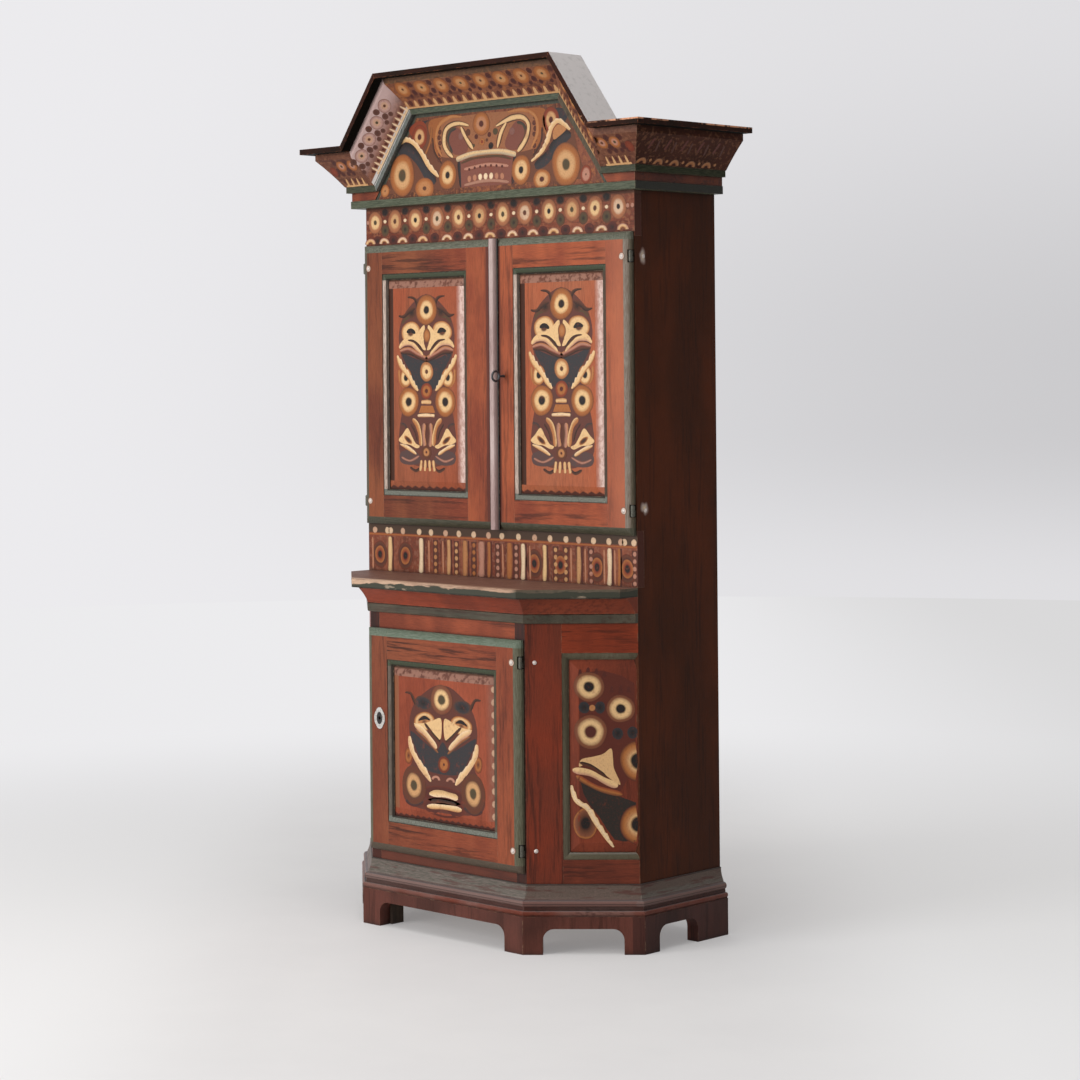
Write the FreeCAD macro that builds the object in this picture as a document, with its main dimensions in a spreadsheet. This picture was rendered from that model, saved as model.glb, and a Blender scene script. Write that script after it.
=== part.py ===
import FreeCAD, Part
import math
import os
import Sketcher

# A painted corner-cut cupboard in two storeys.
# Frame: +Z up, the front faces -Y, +X to the right of someone who faces the front.
# The origin is the middle of the footprint of the whole piece, on the floor.
# "Projection" is a distance out from a carcass face; "drop" is one down from a cornice's top line.

doc = FreeCAD.newDocument("cupboard")
sheet = doc.addObject("Spreadsheet::Sheet", "Sizes")
sheet_rows = []


# ---------------------------------------------------------------- sizes and formulas

def number(term):
    return term.value if isinstance(term, Size) else float(term)


def formula(term):
    return term.text if isinstance(term, Size) else repr(float(term))


class Size:
    """A number together with the sheet formula that gives it."""

    def __init__(self, value, text):
        self.value = value
        self.text = text

    def __add__(self, other):
        return Size(number(self) + number(other), f"({self.text} + {formula(other)})")

    def __radd__(self, other):
        return Size(number(other) + number(self), f"({formula(other)} + {self.text})")

    def __sub__(self, other):
        return Size(number(self) - number(other), f"({self.text} - {formula(other)})")

    def __rsub__(self, other):
        return Size(number(other) - number(self), f"({formula(other)} - {self.text})")

    def __mul__(self, other):
        return Size(number(self) * number(other), f"({self.text} * {formula(other)})")

    def __rmul__(self, other):
        return Size(number(other) * number(self), f"({formula(other)} * {self.text})")

    def __truediv__(self, other):
        return Size(number(self) / number(other), f"({self.text} / {formula(other)})")

    def __neg__(self):
        return Size(-number(self), f"(0 - {self.text})")


def hypotenuse(run, rise):
    return Size(math.hypot(number(run), number(rise)), f"sqrt({formula(run * run + rise * rise)})")


def size(name, value):
    """A driving size: one row of the sheet."""
    sheet_rows.append(name)
    cell = f"A{len(sheet_rows)}"
    sheet.set(cell, str(value))
    sheet.setAlias(cell, name)
    return Size(float(value), f"Sizes.{name}")


# Carcass, seen from above
body_width = size("body_width", 880)
upper_depth = size("upper_depth", 274)
lower_front_width = size("lower_front_width", 504)
lower_projection = size("lower_projection", 168)
table_overhang = size("table_overhang", 44)

# Heights, stacked from the floor up
foot_height = size("foot_height", 84)
plinth_moulding_height = size("plinth_moulding_height", 68)
lower_door_rise = size("lower_door_rise", 23)
lower_door_height = size("lower_door_height", 518)
lower_head_height = size("lower_head_height", 95)
table_thickness = size("table_thickness", 20)
apron_height = size("apron_height", 115)
upper_door_height = size("upper_door_height", 675)
frieze_height = size("frieze_height", 92)
band_height = size("band_height", 38)
cornice_height = size("cornice_height", 108)
gable_cornice_height = size("gable_cornice_height", 96)
gable_rise = size("gable_rise", 164)

# Boards
side_thickness = size("side_thickness", 22)
front_thickness = size("front_thickness", 22)
shelf_thickness = size("shelf_thickness", 18)
back_thickness = size("back_thickness", 16)
back_board_count = 5
shelf_setback = size("shelf_setback", 22)
shelf_spacing = size("shelf_spacing", 222)
lower_shelf_rise = size("lower_shelf_rise", 255)
batten_section = size("batten_section", 22)
post_face_width = size("post_face_width", 30)
post_depth = size("post_depth", 49)
post_cant_width = size("post_cant_width", 82)
cant_bottom_rail_top = size("cant_bottom_rail_top", 54)
cant_top_rail_drop = size("cant_top_rail_drop", 124)

# Doors
door_thickness = size("door_thickness", 16)
door_gap = size("door_gap", 0.8)
door_inset = size("door_inset", 3)
meeting_gap = size("meeting_gap", 1)
door_overlap = size("door_overlap", 10)
frame_width = size("frame_width", 70)
meeting_stile_width = size("meeting_stile_width", 76)
lip_width = size("lip_width", 17)
lip_depth = size("lip_depth", 9)
lip_radius = size("lip_radius", 22)
groove_depth = size("groove_depth", 8)
groove_front = size("groove_front", 9)
tongue_thickness = size("tongue_thickness", 5)
tongue_play = size("tongue_play", 0.1)
tongue_end_play = size("tongue_end_play", 1)
panel_moulding_width = size("panel_moulding_width", 15)
panel_bevel_width = size("panel_bevel_width", 21)
panel_field_recess = size("panel_field_recess", 3)
panel_moulding_recess = size("panel_moulding_recess", 1)
panel_moulding_radius = size("panel_moulding_radius", 16)
astragal_width = size("astragal_width", 30)
astragal_height = size("astragal_height", 10)

# Hinges and their nails
pin_inset = size("pin_inset", 5)
knuckle_radius = size("knuckle_radius", 4.5)
knuckle_clearance = size("knuckle_clearance", 0.7)
hinge_half_height = size("hinge_half_height", 12)
knuckle_gap = size("knuckle_gap", 0.3)
pin_radius = size("pin_radius", 2.5)
pin_clearance = size("pin_clearance", 0.05)
pin_overrun = size("pin_overrun", 1.5)
leaf_thickness = size("leaf_thickness", 2)
door_leaf_reach = size("door_leaf_reach", 30)
side_leaf_reach = size("side_leaf_reach", 35)
post_leaf_reach = size("post_leaf_reach", 44)
upper_hinge_from_end = size("upper_hinge_from_end", 55)
lower_hinge_from_end = size("lower_hinge_from_end", 50)
nail_head_radius = size("nail_head_radius", 5)
nail_head_height = size("nail_head_height", 2.5)
nail_shank_radius = size("nail_shank_radius", 1.6)
door_nail_inset = size("door_nail_inset", 22)
door_nail_length = size("door_nail_length", 14)
side_nail_inset = size("side_nail_inset", 28)
side_nail_length = size("side_nail_length", 14)
cant_nail_inset = size("cant_nail_inset", 22)
cant_nail_length = size("cant_nail_length", 38)

# Locks
upper_lock_rise = size("upper_lock_rise", 356)
upper_key_inset = size("upper_key_inset", 46)
lower_lock_rise = size("lower_lock_rise", 309)
lower_keyhole_inset = size("lower_keyhole_inset", 47)
lock_half_height = size("lock_half_height", 35)
lock_width = size("lock_width", 62)
lock_depth = size("lock_depth", 14)
lock_edge_margin = size("lock_edge_margin", 4)
bolt_half_height = size("bolt_half_height", 8)
bolt_thickness = size("bolt_thickness", 4)
bolt_setback = size("bolt_setback", 8)
bolt_head_setback = size("bolt_head_setback", 0.5)
bolt_head_length = size("bolt_head_length", 14)
bolt_slack = size("bolt_slack", 0.2)
bolt_throw = size("bolt_throw", 12)
key_stem_radius = size("key_stem_radius", 3)
key_clearance = size("key_clearance", 0.05)
key_reach = size("key_reach", 16)
key_bow_radius = size("key_bow_radius", 11.5)
key_bow_wire = size("key_bow_wire", 2.6)
key_bit_length = size("key_bit_length", 10)
key_bit_thickness = size("key_bit_thickness", 2.4)
key_bit_depth = size("key_bit_depth", 4)
lower_keyhole_radius = size("lower_keyhole_radius", 4)
escutcheon_half_width = size("escutcheon_half_width", 18)
escutcheon_half_height = size("escutcheon_half_height", 25)
escutcheon_thickness = size("escutcheon_thickness", 1.5)
escutcheon_end_sagitta = size("escutcheon_end_sagitta", 8)
escutcheon_side_sagitta = size("escutcheon_side_sagitta", 7)

# Plinth and feet
foot_projection = size("foot_projection", 23)
foot_seat = size("foot_seat", 9)
foot_front_length = size("foot_front_length", 48)
foot_cant_length = size("foot_cant_length", 36)
foot_side_front_length = size("foot_side_front_length", 38)
foot_side_back_length = size("foot_side_back_length", 106)
foot_straight = size("foot_straight", 32)
foot_arch_radius = size("foot_arch_radius", 25)
glue_block_section = size("glue_block_section", 36)
glue_block_offset = size("glue_block_offset", 20)

# Waist below the table board
waist_fillet_height = size("waist_fillet_height", 21)
waist_fillet_projection = size("waist_fillet_projection", 7)
waist_cove_height = size("waist_cove_height", 37)
waist_cove_projection = size("waist_cove_projection", 27)
waist_cove_radius = size("waist_cove_radius", 110)

# Crown
band_projection = size("band_projection", 26)
band_step = size("band_step", 2)
band_strip_height = size("band_strip_height", 18)
gable_board_front = size("gable_board_front", 22)
gable_board_thickness = size("gable_board_thickness", 14)
low_run = size("low_run", 33)
slope_run = size("slope_run", 118)
cap_projection = size("cap_projection", 114)
cap_thickness = size("cap_thickness", 13)
cove_top_projection = size("cove_top_projection", 87)
cove_foot_projection = size("cove_foot_projection", 36)
cove_radius = size("cove_radius", 600)
cove_lip_height = size("cove_lip_height", 15)
cornice_fillet_projection = size("cornice_fillet_projection", 34)
cornice_fillet_height = size("cornice_fillet_height", 15)
gable_block_width = size("gable_block_width", 30)
gable_batten_from_middle = size("gable_batten_from_middle", 150)
gable_batten_height = size("gable_batten_height", 220)

doc.recompute()

# Levels
plinth_top = foot_height + plinth_moulding_height
lower_door_bottom = plinth_top + lower_door_rise
lower_door_top = lower_door_bottom + lower_door_height
table_bottom = lower_door_top + lower_head_height
table_top = table_bottom + table_thickness
upper_door_bottom = table_top + apron_height
upper_door_top = upper_door_bottom + upper_door_height
cornice_bottom = upper_door_top + frieze_height
band_top = cornice_bottom + band_height
low_cornice_top = band_top + cornice_height
ridge_top = low_cornice_top + gable_rise
cap_underside = low_cornice_top - cap_thickness

# Planes seen from above
half_width = body_width / 2
inside_half = half_width - side_thickness
lower_half = lower_front_width / 2
back = (upper_depth + lower_projection + table_overhang) / 2
upper_front = back - upper_depth
lower_front = upper_front - lower_projection
back_inside = back - back_thickness

# The canted corner runs from the lower front's end to the side board's front edge.
cant_run = half_width - lower_half
cant_length = hypotenuse(cant_run, lower_projection)
cant_angle = Size(math.degrees(math.atan2(number(lower_projection), number(cant_run))),
                  f"atan({formula(lower_projection / cant_run)})")
front_mitre = (cant_length - cant_run) / lower_projection
side_mitre = (cant_length - lower_projection) / cant_run
side_cut = lower_projection / cant_run
front_cut = cant_run / lower_projection

# The gable: a low length at each end, a slope and the ridge
gable_foot_from_middle = half_width - low_run
gable_ridge_half = gable_foot_from_middle - slope_run
slope_length = hypotenuse(slope_run, gable_rise)
slope_angle = Size(math.degrees(math.atan2(number(gable_rise), number(slope_run))),
                   f"atan({formula(gable_rise / slope_run)})")
slope_mitre = (slope_length - slope_run) / gable_rise
slope_cut = slope_run / gable_rise
slope_cosine = slope_run / slope_length
slope_sine = gable_rise / slope_length

# The gable's mouldings are a little narrower than the low ones, so the joint at the
# slope's foot runs from the outer corner to where their inner edges cross.
gable_shrink = gable_cornice_height / cornice_height
foot_shift = (gable_cornice_height - cornice_height * slope_cosine) / slope_sine
low_foot_mitre = foot_shift / cornice_height
slope_foot_mitre = (cornice_height * slope_sine - foot_shift * slope_cosine) / (
    gable_cornice_height)


# ---------------------------------------------------------------- drawing helpers

def bind(obj, **bindings):
    """Bind properties to formulas; double underscores stand for dots."""
    for name, term in bindings.items():
        obj.setExpression(name.replace("__", "."), formula(term))


def move_to(obj, x=0, y=0, z=0, turn=None, axis=(0, 0, 1)):
    if turn is not None:
        rotation = FreeCAD.Rotation(FreeCAD.Vector(*axis), number(turn))
        obj.Placement = FreeCAD.Placement(FreeCAD.Vector(), rotation)
        bind(obj, Placement__Rotation__Angle=turn)
    bind(obj, Placement__Base__x=x, Placement__Base__y=y, Placement__Base__z=z)
    return obj


def box(name, x, y, z):
    """A box between two values along each axis."""
    block = doc.addObject("Part::Box", name)
    block.Label = name
    bind(block, Length=x[1] - x[0], Width=y[1] - y[0], Height=z[1] - z[0])
    return move_to(block, x[0], y[0], z[0])


def rod(name, radius, length, x, y, z, turn=None, axis=(1, 0, 0)):
    """A cylinder along +Z from its foot, then turned about an axis through its foot."""
    cylinder = doc.addObject("Part::Cylinder", name)
    cylinder.Label = name
    bind(cylinder, Radius=radius, Height=length)
    return move_to(cylinder, x, y, z, turn, axis)


def joined(name, pieces):
    fuse = doc.addObject("Part::MultiFuse", name)
    fuse.Label = name
    fuse.Shapes = pieces
    fuse.Refine = True
    return fuse


def cut(name, base, tools):
    """The base with every tool taken out of it."""
    tool = tools[0] if len(tools) == 1 else joined(name + "_tools", tools)
    result = doc.addObject("Part::Cut", name)
    result.Label = name
    result.Base = base
    result.Tool = tool
    return result


def group(name, pieces):
    """Several separate solids that share one node."""
    compound = doc.addObject("Part::Compound", name)
    compound.Label = name
    compound.Links = pieces
    return compound


def mirrored(name, source):
    """The same piece on the other side of the middle plane."""
    mirror = doc.addObject("Part::Mirroring", name)
    mirror.Label = name
    mirror.Source = source
    mirror.Base = FreeCAD.Vector(0, 0, 0)
    mirror.Normal = FreeCAD.Vector(1, 0, 0)
    return mirror


def both_sides(name, rights):
    return group(name, rights + [mirrored(piece.Name + "_left", piece) for piece in rights])


def origin_plane(body, role):
    return next(feature for feature in body.Origin.OriginFeatures if feature.Role == role)


def arc_between(start, end, radius):
    """An arc; a positive radius turns left on its way from start to end."""
    chord = end - start
    middle = (start + end) * 0.5
    left = FreeCAD.Vector(-chord.y, chord.x, 0)
    left.normalize()
    away = math.sqrt(max(radius * radius - chord.Length * chord.Length / 4, 0))
    centre = middle + left * math.copysign(away, radius)
    first, last = (start, end) if radius > 0 else (end, start)
    circle = Part.Circle(centre, FreeCAD.Vector(0, 0, 1), abs(radius))
    return Part.ArcOfCircle(circle, circle.parameter(first), circle.parameter(last))


def sketch(body, name, plane, points, offset=0):
    """A closed outline, fully placed from the origin.

    A point is (x, y), or (x, y, radius) where an arc leads on to the next point.
    """
    drawing = body.newObject("Sketcher::SketchObject", name)
    drawing.AttachmentSupport = [(origin_plane(body, plane), "")]
    drawing.MapMode = "FlatFace"
    bind(drawing, AttachmentOffset__Base__z=offset)
    spots = [FreeCAD.Vector(number(point[0]), number(point[1]), 0) for point in points]
    heads = []
    tails = []
    for index, point in enumerate(points):
        start = spots[index]
        end = spots[(index + 1) % len(points)]
        if len(point) == 3:
            drawing.addGeometry(arc_between(start, end, number(point[2])), False)
            turns_left = number(point[2]) > 0
            heads.append(1 if turns_left else 2)
            tails.append(2 if turns_left else 1)
        else:
            drawing.addGeometry(Part.LineSegment(start, end), False)
            heads.append(1)
            tails.append(2)
    for index, point in enumerate(points):
        following = (index + 1) % len(points)
        drawing.addConstraint(Sketcher.Constraint("Coincident", index, tails[index],
                                                  following, heads[following]))
        for direction, term in zip(("DistanceX", "DistanceY"), point):
            row = drawing.addConstraint(Sketcher.Constraint(direction, -1, 1, index,
                                                            heads[index], number(term)))
            if isinstance(term, Size):
                drawing.setExpression(f"Constraints[{row}]", term.text)
        if len(point) == 3:
            reach = point[2] if number(point[2]) > 0 else -point[2]
            row = drawing.addConstraint(Sketcher.Constraint("Radius", index, number(reach)))
            if isinstance(reach, Size):
                drawing.setExpression(f"Constraints[{row}]", reach.text)
    return drawing


def new_body(name):
    body = doc.addObject("PartDesign::Body", name)
    body.Label = name
    return body


def pad(body, name, plane, points, length, offset=0):
    feature = body.newObject("PartDesign::Pad", name)
    feature.Profile = sketch(body, name + "_sketch", plane, points, offset)
    bind(feature, Length=length)
    return feature


def pocket(body, name, plane, points, length, offset=0):
    """Cut an outline out, to equal depths on both sides of its plane."""
    feature = body.newObject("PartDesign::Pocket", name)
    feature.Profile = sketch(body, name + "_sketch", plane, points, offset)
    feature.SideType = "Symmetric"
    bind(feature, Length=length)
    return feature


def board(name, plane, points, length, offset=0):
    """A board of one outline: XY outlines rise, XZ outlines go back to -Y, YZ ones to +X."""
    body = new_body(name)
    pad(body, name + "_board", plane, points, length, offset)
    return body


saw_reach = 2 * cap_projection
far_through = 4 * body_width


def run(name, section, length, start, end):
    """A moulding along local +X, cut to length by two sloping saw cuts.

    The section is drawn in (y, z): y is minus the projection and z is minus the drop.
    A cut is (kind, slope): "plan" cuts shift with the projection and "face" cuts with the
    drop, by slope for each unit, and a positive slope makes the piece longer.
    """
    body = new_body(name)
    pad(body, name + "_section", "YZ_Plane", section, length + 2 * saw_reach, -saw_reach)
    planes = {"plan": "XY_Plane", "face": "XZ_Plane"}
    for tag, (kind, slope), end_x, outward in (("start", start, 0, -1), ("end", end, length, 1)):
        shift = saw_reach * slope * outward
        beyond = end_x + outward * 3 * saw_reach
        waste = [(beyond, -saw_reach), (end_x + shift, -saw_reach),
                 (end_x - shift, saw_reach), (beyond, saw_reach)]
        pocket(body, f"{name}_{tag}_cut", planes[kind], waste, far_through)
    return body


square = ("plan", 0)


def front_corner(offset):
    """Plan point of the right front corner, where front and cant meet at a projection."""
    return lower_half + offset * front_mitre, lower_front - offset


# ---------------------------------------------------------------- carcass

def side_board(name, side):
    profile = [(back, foot_height), (upper_front, foot_height), (upper_front, table_top),
               (upper_front + front_thickness, table_top),
               (upper_front + front_thickness, upper_door_bottom + door_overlap),
               (upper_front, upper_door_bottom + door_overlap),
               (upper_front, upper_door_top - door_overlap),
               (upper_front + front_thickness, upper_door_top - door_overlap),
               (upper_front + front_thickness, band_top), (upper_front, band_top),
               (upper_front, cap_underside), (back, cap_underside)]
    start = inside_half if side > 0 else -half_width
    body = board(name + "_blank", "YZ_Plane", profile, side_thickness, start)
    tools = []
    for tag, level in upper_hinge_levels():
        pin_x = side * (half_width - pin_inset)
        tools.append(leaf_slot(f"{name}_{tag}_slot", pin_x, upper_front, side_leaf_reach, level))
        tools.append(nail_hole(f"{name}_{tag}_hole", side * half_width,
                               upper_front + side_nail_inset, level, side_nail_length, side * 90))
    return cut(name, body, tools)


def upper_hinge_levels():
    return (("low", upper_door_bottom + upper_hinge_from_end),
            ("high", upper_door_top - upper_hinge_from_end))


def lower_hinge_levels():
    return (("low", lower_door_bottom + lower_hinge_from_end),
            ("high", lower_door_top - lower_hinge_from_end))


def leaf_slot(name, x, front, reach, level):
    """The mortise for a hinge leaf that goes straight back from a front face."""
    return box(name, (x - leaf_thickness / 2, x + leaf_thickness / 2), (front, front + reach),
               (level - hinge_half_height, level + hinge_half_height))


def nail_hole(name, x, y, level, length, turn):
    """The hole of a nail that is driven in from the face at (x, y); turn 0 drives to +Y."""
    holder = new_body(name)
    ring = holder.newObject("Sketcher::SketchObject", name + "_ring")
    ring.AttachmentSupport = [(origin_plane(holder, "XZ_Plane"), "")]
    ring.MapMode = "FlatFace"
    bind(ring, AttachmentOffset__Base__z=-length)
    circle = Part.Circle(FreeCAD.Vector(), FreeCAD.Vector(0, 0, 1), number(nail_shank_radius))
    ring.addGeometry(circle, False)
    ring.addConstraint(Sketcher.Constraint("Coincident", 0, 3, -1, 1))
    row = ring.addConstraint(Sketcher.Constraint("Radius", 0, number(nail_shank_radius)))
    ring.setExpression(f"Constraints[{row}]", nail_shank_radius.text)
    bore = holder.newObject("PartDesign::Pad", name + "_bore")
    bore.Profile = ring
    bind(bore, Length=length)
    return move_to(holder, x, y, level, turn)


def back_boards():
    pieces = []
    width = 2 * inside_half / back_board_count
    for index in range(back_board_count):
        left = -inside_half + index * width
        pieces.append(box(f"back_board_{index + 1}", (left, left + width), (back_inside, back),
                          (foot_height, band_top)))
    return group("back_boards", pieces)


def shelf(name, top):
    return box(name, (-inside_half, inside_half), (upper_front + shelf_setback, back_inside),
               (top - shelf_thickness, top))


def batten_pair(name, top):
    """Two battens on the side boards, under a shelf with this underside."""
    span = (upper_front + shelf_setback + batten_section / 2, back_inside)
    right = box(name + "_right", (inside_half - batten_section, inside_half), span,
                (top - batten_section, top))
    return [right, mirrored(name + "_left", right)]


def inner_cant_x(y):
    """Where the back face of the canted boards crosses a line across the carcass."""
    front = front_corner(-front_thickness)
    return front[0] + (y - front[1]) * front_cut


def lower_floor():
    post_back = lower_front + post_depth
    rail_back = lower_front + front_thickness
    right = [(lower_half - post_face_width, rail_back), (lower_half - post_face_width, post_back),
             (inner_cant_x(post_back), post_back), (inner_cant_x(upper_front), upper_front),
             (inside_half, upper_front), (inside_half, back_inside)]
    left = [(-x, y) for x, y in reversed(right)]
    return board("lower_floor", "XY_Plane", right + left, shelf_thickness,
                 lower_door_bottom - shelf_thickness)


def table_board():
    front = front_corner(table_overhang)
    end_y = front[1] + (half_width - front[0]) * side_cut
    right = [front, (half_width, end_y), (half_width, upper_front), (inside_half, upper_front),
             (inside_half, back_inside)]
    left = [(-x, y) for x, y in reversed(right)]
    return board("table_board", "XY_Plane", right + left, table_thickness, table_bottom)


def cant_point(along, depth):
    """Plan point on the right cant: so far from its front end, so deep behind its face."""
    return (lower_half + (along * cant_run - depth * lower_projection) / cant_length,
            lower_front + (along * lower_projection + depth * cant_run) / cant_length)


def right_post_outline():
    post_back = lower_front + post_depth
    groove_back = groove_front + tongue_thickness
    return [(lower_half - post_face_width, lower_front), (lower_half, lower_front),
            cant_point(post_cant_width, 0), cant_point(post_cant_width, groove_front),
            cant_point(post_cant_width - groove_depth, groove_front),
            cant_point(post_cant_width - groove_depth, groove_back),
            cant_point(post_cant_width, groove_back),
            cant_point(post_cant_width, front_thickness),
            (inner_cant_x(post_back), post_back), (lower_half - post_face_width, post_back)]


def corner_posts():
    height = table_bottom - foot_height
    right_blank = board("right_post_blank", "XY_Plane", right_post_outline(), height, foot_height)
    tools = []
    for tag, level in lower_hinge_levels():
        tools.append(leaf_slot(f"post_{tag}_slot", lower_half - pin_inset, lower_front,
                               post_leaf_reach, level))
        x, y = cant_point(cant_nail_inset, 0)
        tools.append(nail_hole(f"post_{tag}_hole", x, y, level, cant_nail_length, cant_angle))
    right = cut("corner_post_right", right_blank, tools)
    left_outline = [(-x, y) for x, y in right_post_outline()]
    left_blank = board("left_post_blank", "XY_Plane", left_outline, height, foot_height)
    level = lower_door_bottom + lower_lock_rise
    edge = -(lower_half - post_face_width)
    bolt_y = lower_front - door_gap + bolt_setback
    mortise = box("bolt_mortise", (edge - bolt_throw - 2 * lock_edge_margin, edge),
                  (bolt_y - bolt_slack * 2, bolt_y + bolt_thickness + bolt_slack * 2),
                  (level - bolt_half_height - bolt_slack, level + bolt_half_height + bolt_slack))
    return right, cut("corner_post_left", left_blank, [mortise])


def lower_rails():
    span = (-(lower_half - post_face_width), lower_half - post_face_width)
    depth = (lower_front, lower_front + front_thickness)
    bottom = box("lower_bottom_rail", span, depth, (foot_height, lower_door_bottom + door_overlap))
    top = box("lower_top_rail", span, depth, (lower_door_top - door_overlap, table_bottom))
    return group("lower_rails", [bottom, top])


def cant_rail(name, bottom, top, groove_level):
    """A rail of the canted corner, from the post to the side board's front edge."""
    outline = [cant_point(post_cant_width, 0), (half_width, upper_front),
               (inner_cant_x(upper_front), upper_front),
               cant_point(post_cant_width, front_thickness)]
    body = board(name, "XY_Plane", outline, top - bottom, bottom)
    groove_back = groove_front + tongue_thickness
    groove = [cant_point(0, groove_front), cant_point(2 * cant_length, groove_front),
              cant_point(2 * cant_length, groove_back), cant_point(0, groove_back)]
    pocket(body, name + "_groove", "XY_Plane", groove, 2 * groove_depth, groove_level)
    return body


def cant_panel_limits():
    return plinth_top + cant_bottom_rail_top, table_bottom - cant_top_rail_drop


def cant_rails():
    low, high = cant_panel_limits()
    return [cant_rail("cant_bottom_rail", foot_height, low, low),
            cant_rail("cant_top_rail", high, table_bottom, high)]


def raised_panel(body, name, x, z, closed_end=True):
    """A thin tongued sheet with a raised field, behind a frame face in the plane y = 0."""
    reach = groove_depth - tongue_end_play
    seat = groove_front + tongue_play
    margin = panel_moulding_width
    inner = margin + panel_bevel_width
    far_x = (x[1] + reach, x[1] - margin, x[1] - inner)
    if not closed_end:
        far_x = (x[1], x[1], x[1])
    thickness = tongue_thickness - 2 * tongue_play
    sheet_outline = rectangle((x[0] - reach, far_x[0]), (z[0] - reach, z[1] + reach))
    pad(body, name + "_sheet", "XZ_Plane", sheet_outline, thickness, -(seat + thickness))
    bevel = body.newObject("PartDesign::AdditiveLoft", name + "_field")
    foot_outline = rectangle((x[0] + margin, far_x[1]), (z[0] + margin, z[1] - margin))
    field_outline = rectangle((x[0] + inner, far_x[2]), (z[0] + inner, z[1] - inner))
    bevel.Profile = sketch(body, name + "_field_foot", "XZ_Plane", foot_outline, -seat)
    bevel.Sections = [sketch(body, name + "_field_face", "XZ_Plane", field_outline,
                             -panel_field_recess)]
    bevel.Ruled = True


def rectangle(x, y):
    return [(x[0], y[0]), (x[1], y[0]), (x[1], y[1]), (x[0], y[1])]


def cant_panel():
    low, high = cant_panel_limits()
    body = new_body("cant_panel_right")
    raised_panel(body, "cant_panel", (post_cant_width, cant_length + groove_depth), (low, high),
                 closed_end=False)
    waste = [(cant_length + groove_depth * front_cut, -groove_depth),
             (cant_length - saw_reach * front_cut, saw_reach),
             (cant_length + saw_reach, saw_reach), (cant_length + saw_reach, -groove_depth)]
    pocket(body, "cant_panel_end_cut", "XY_Plane", waste, far_through)
    return move_to(body, lower_half, lower_front, 0, cant_angle)


def panel_moulding_section():
    """Seated on the panel's margin, rising to just under the frame's face."""
    return [(groove_front, 0), (panel_moulding_recess, 0), (panel_moulding_recess, -2),
            (panel_moulding_recess, -3, panel_moulding_radius),
            (groove_front - 2, -(panel_moulding_width - 1)),
            (groove_front - 2, -panel_moulding_width), (groove_front, -panel_moulding_width)]


def moulding_length(name, length, x, z, turn, start=("face", -1), end=("face", -1)):
    body = run(name, panel_moulding_section(), length, start, end)
    return move_to(body, x, 0, z, turn, (0, 1, 0))


def cant_mouldings():
    low, high = cant_panel_limits()
    to_side = ("plan", front_cut)
    length = cant_length - post_cant_width
    top = moulding_length("cant_moulding_top", length, post_cant_width, high, 0, end=to_side)
    upright = moulding_length("cant_moulding_upright", high - low, post_cant_width, low, -90)
    bottom = run("cant_moulding_bottom_blank", panel_moulding_section(), length,
                 ("face", -1), to_side)
    flipped = doc.addObject("Part::Mirroring", "cant_moulding_bottom")
    flipped.Source = bottom
    flipped.Normal = FreeCAD.Vector(0, 0, 1)
    move_to(flipped, post_cant_width, 0, low)
    pieces = group("cant_mouldings_right", [top, upright, flipped])
    return [move_to(pieces, lower_half, lower_front, 0, cant_angle)]


# ---------------------------------------------------------------- mouldings around the lower part

def around_front(name, section, level, foot_side=False):
    """Front, cant and, where asked for, side lengths of one moulding, with mitred corners."""
    front = run(name + "_front", section, lower_front_width,
                ("plan", front_mitre), ("plan", front_mitre))
    move_to(front, -lower_half, lower_front, level)
    cant_end = ("plan", side_mitre) if foot_side else ("plan", -side_cut)
    cant = run(name + "_cant_right", section, cant_length, ("plan", front_mitre), cant_end)
    move_to(cant, lower_half, lower_front, level, cant_angle)
    pieces = [front, cant, mirrored(name + "_cant_left", cant)]
    if foot_side:
        side = run(name + "_side_right", section, upper_depth, ("plan", side_mitre), square)
        move_to(side, half_width, upper_front, level, 90)
        pieces += [side, mirrored(name + "_side_left", side)]
    return pieces


def plinth_moulding():
    """A small bead, a groove, a larger bead and a long hollow that rises to the carcass."""
    tall = plinth_moulding_height
    out = foot_projection
    section = [(0, 0), (-(out - 2), 0), (-(out - 2), 2, -6), (-(out - 3), 12), (-(out - 7), 12),
               (-(out - 8), 20, -8), (-(out - 10), 35), (-(out - 13), 36), (-(out - 13), 38, 60),
               (-3, tall - 5), (-3, tall), (0, tall)]
    return group("plinth_moulding", around_front("plinth_moulding_run", section, foot_height,
                                                 True))


def waist_fillet():
    level = table_bottom - waist_cove_height - waist_fillet_height
    out = waist_fillet_projection
    section = [(0, 0), (-out + 2, 0), (-out, 2), (-out, waist_fillet_height - 2),
               (-out + 2, waist_fillet_height), (0, waist_fillet_height)]
    return group("waist_fillet", around_front("waist_fillet_run", section, level))


def waist_cove():
    level = table_bottom - waist_cove_height
    section = [(0, 0), (-waist_fillet_projection, 0), (-waist_fillet_projection, 2,
                                                       waist_cove_radius),
               (-waist_cove_projection, waist_cove_height - 3),
               (-waist_cove_projection, waist_cove_height), (0, waist_cove_height)]
    return group("waist_cove", around_front("waist_cove_run", section, level))


def arch(body, name, left, right):
    """The opening between two feet of a plinth board: straight legs, round shoulders."""
    radius = foot_arch_radius
    crown = foot_straight + radius
    outline = [(left, -foot_height), (left, foot_straight, -radius), (left + radius, crown),
               (right - radius, crown, -radius), (right, foot_straight), (right, -foot_height)]
    pocket(body, name + "_arch", "XZ_Plane", outline, far_through)


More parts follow.
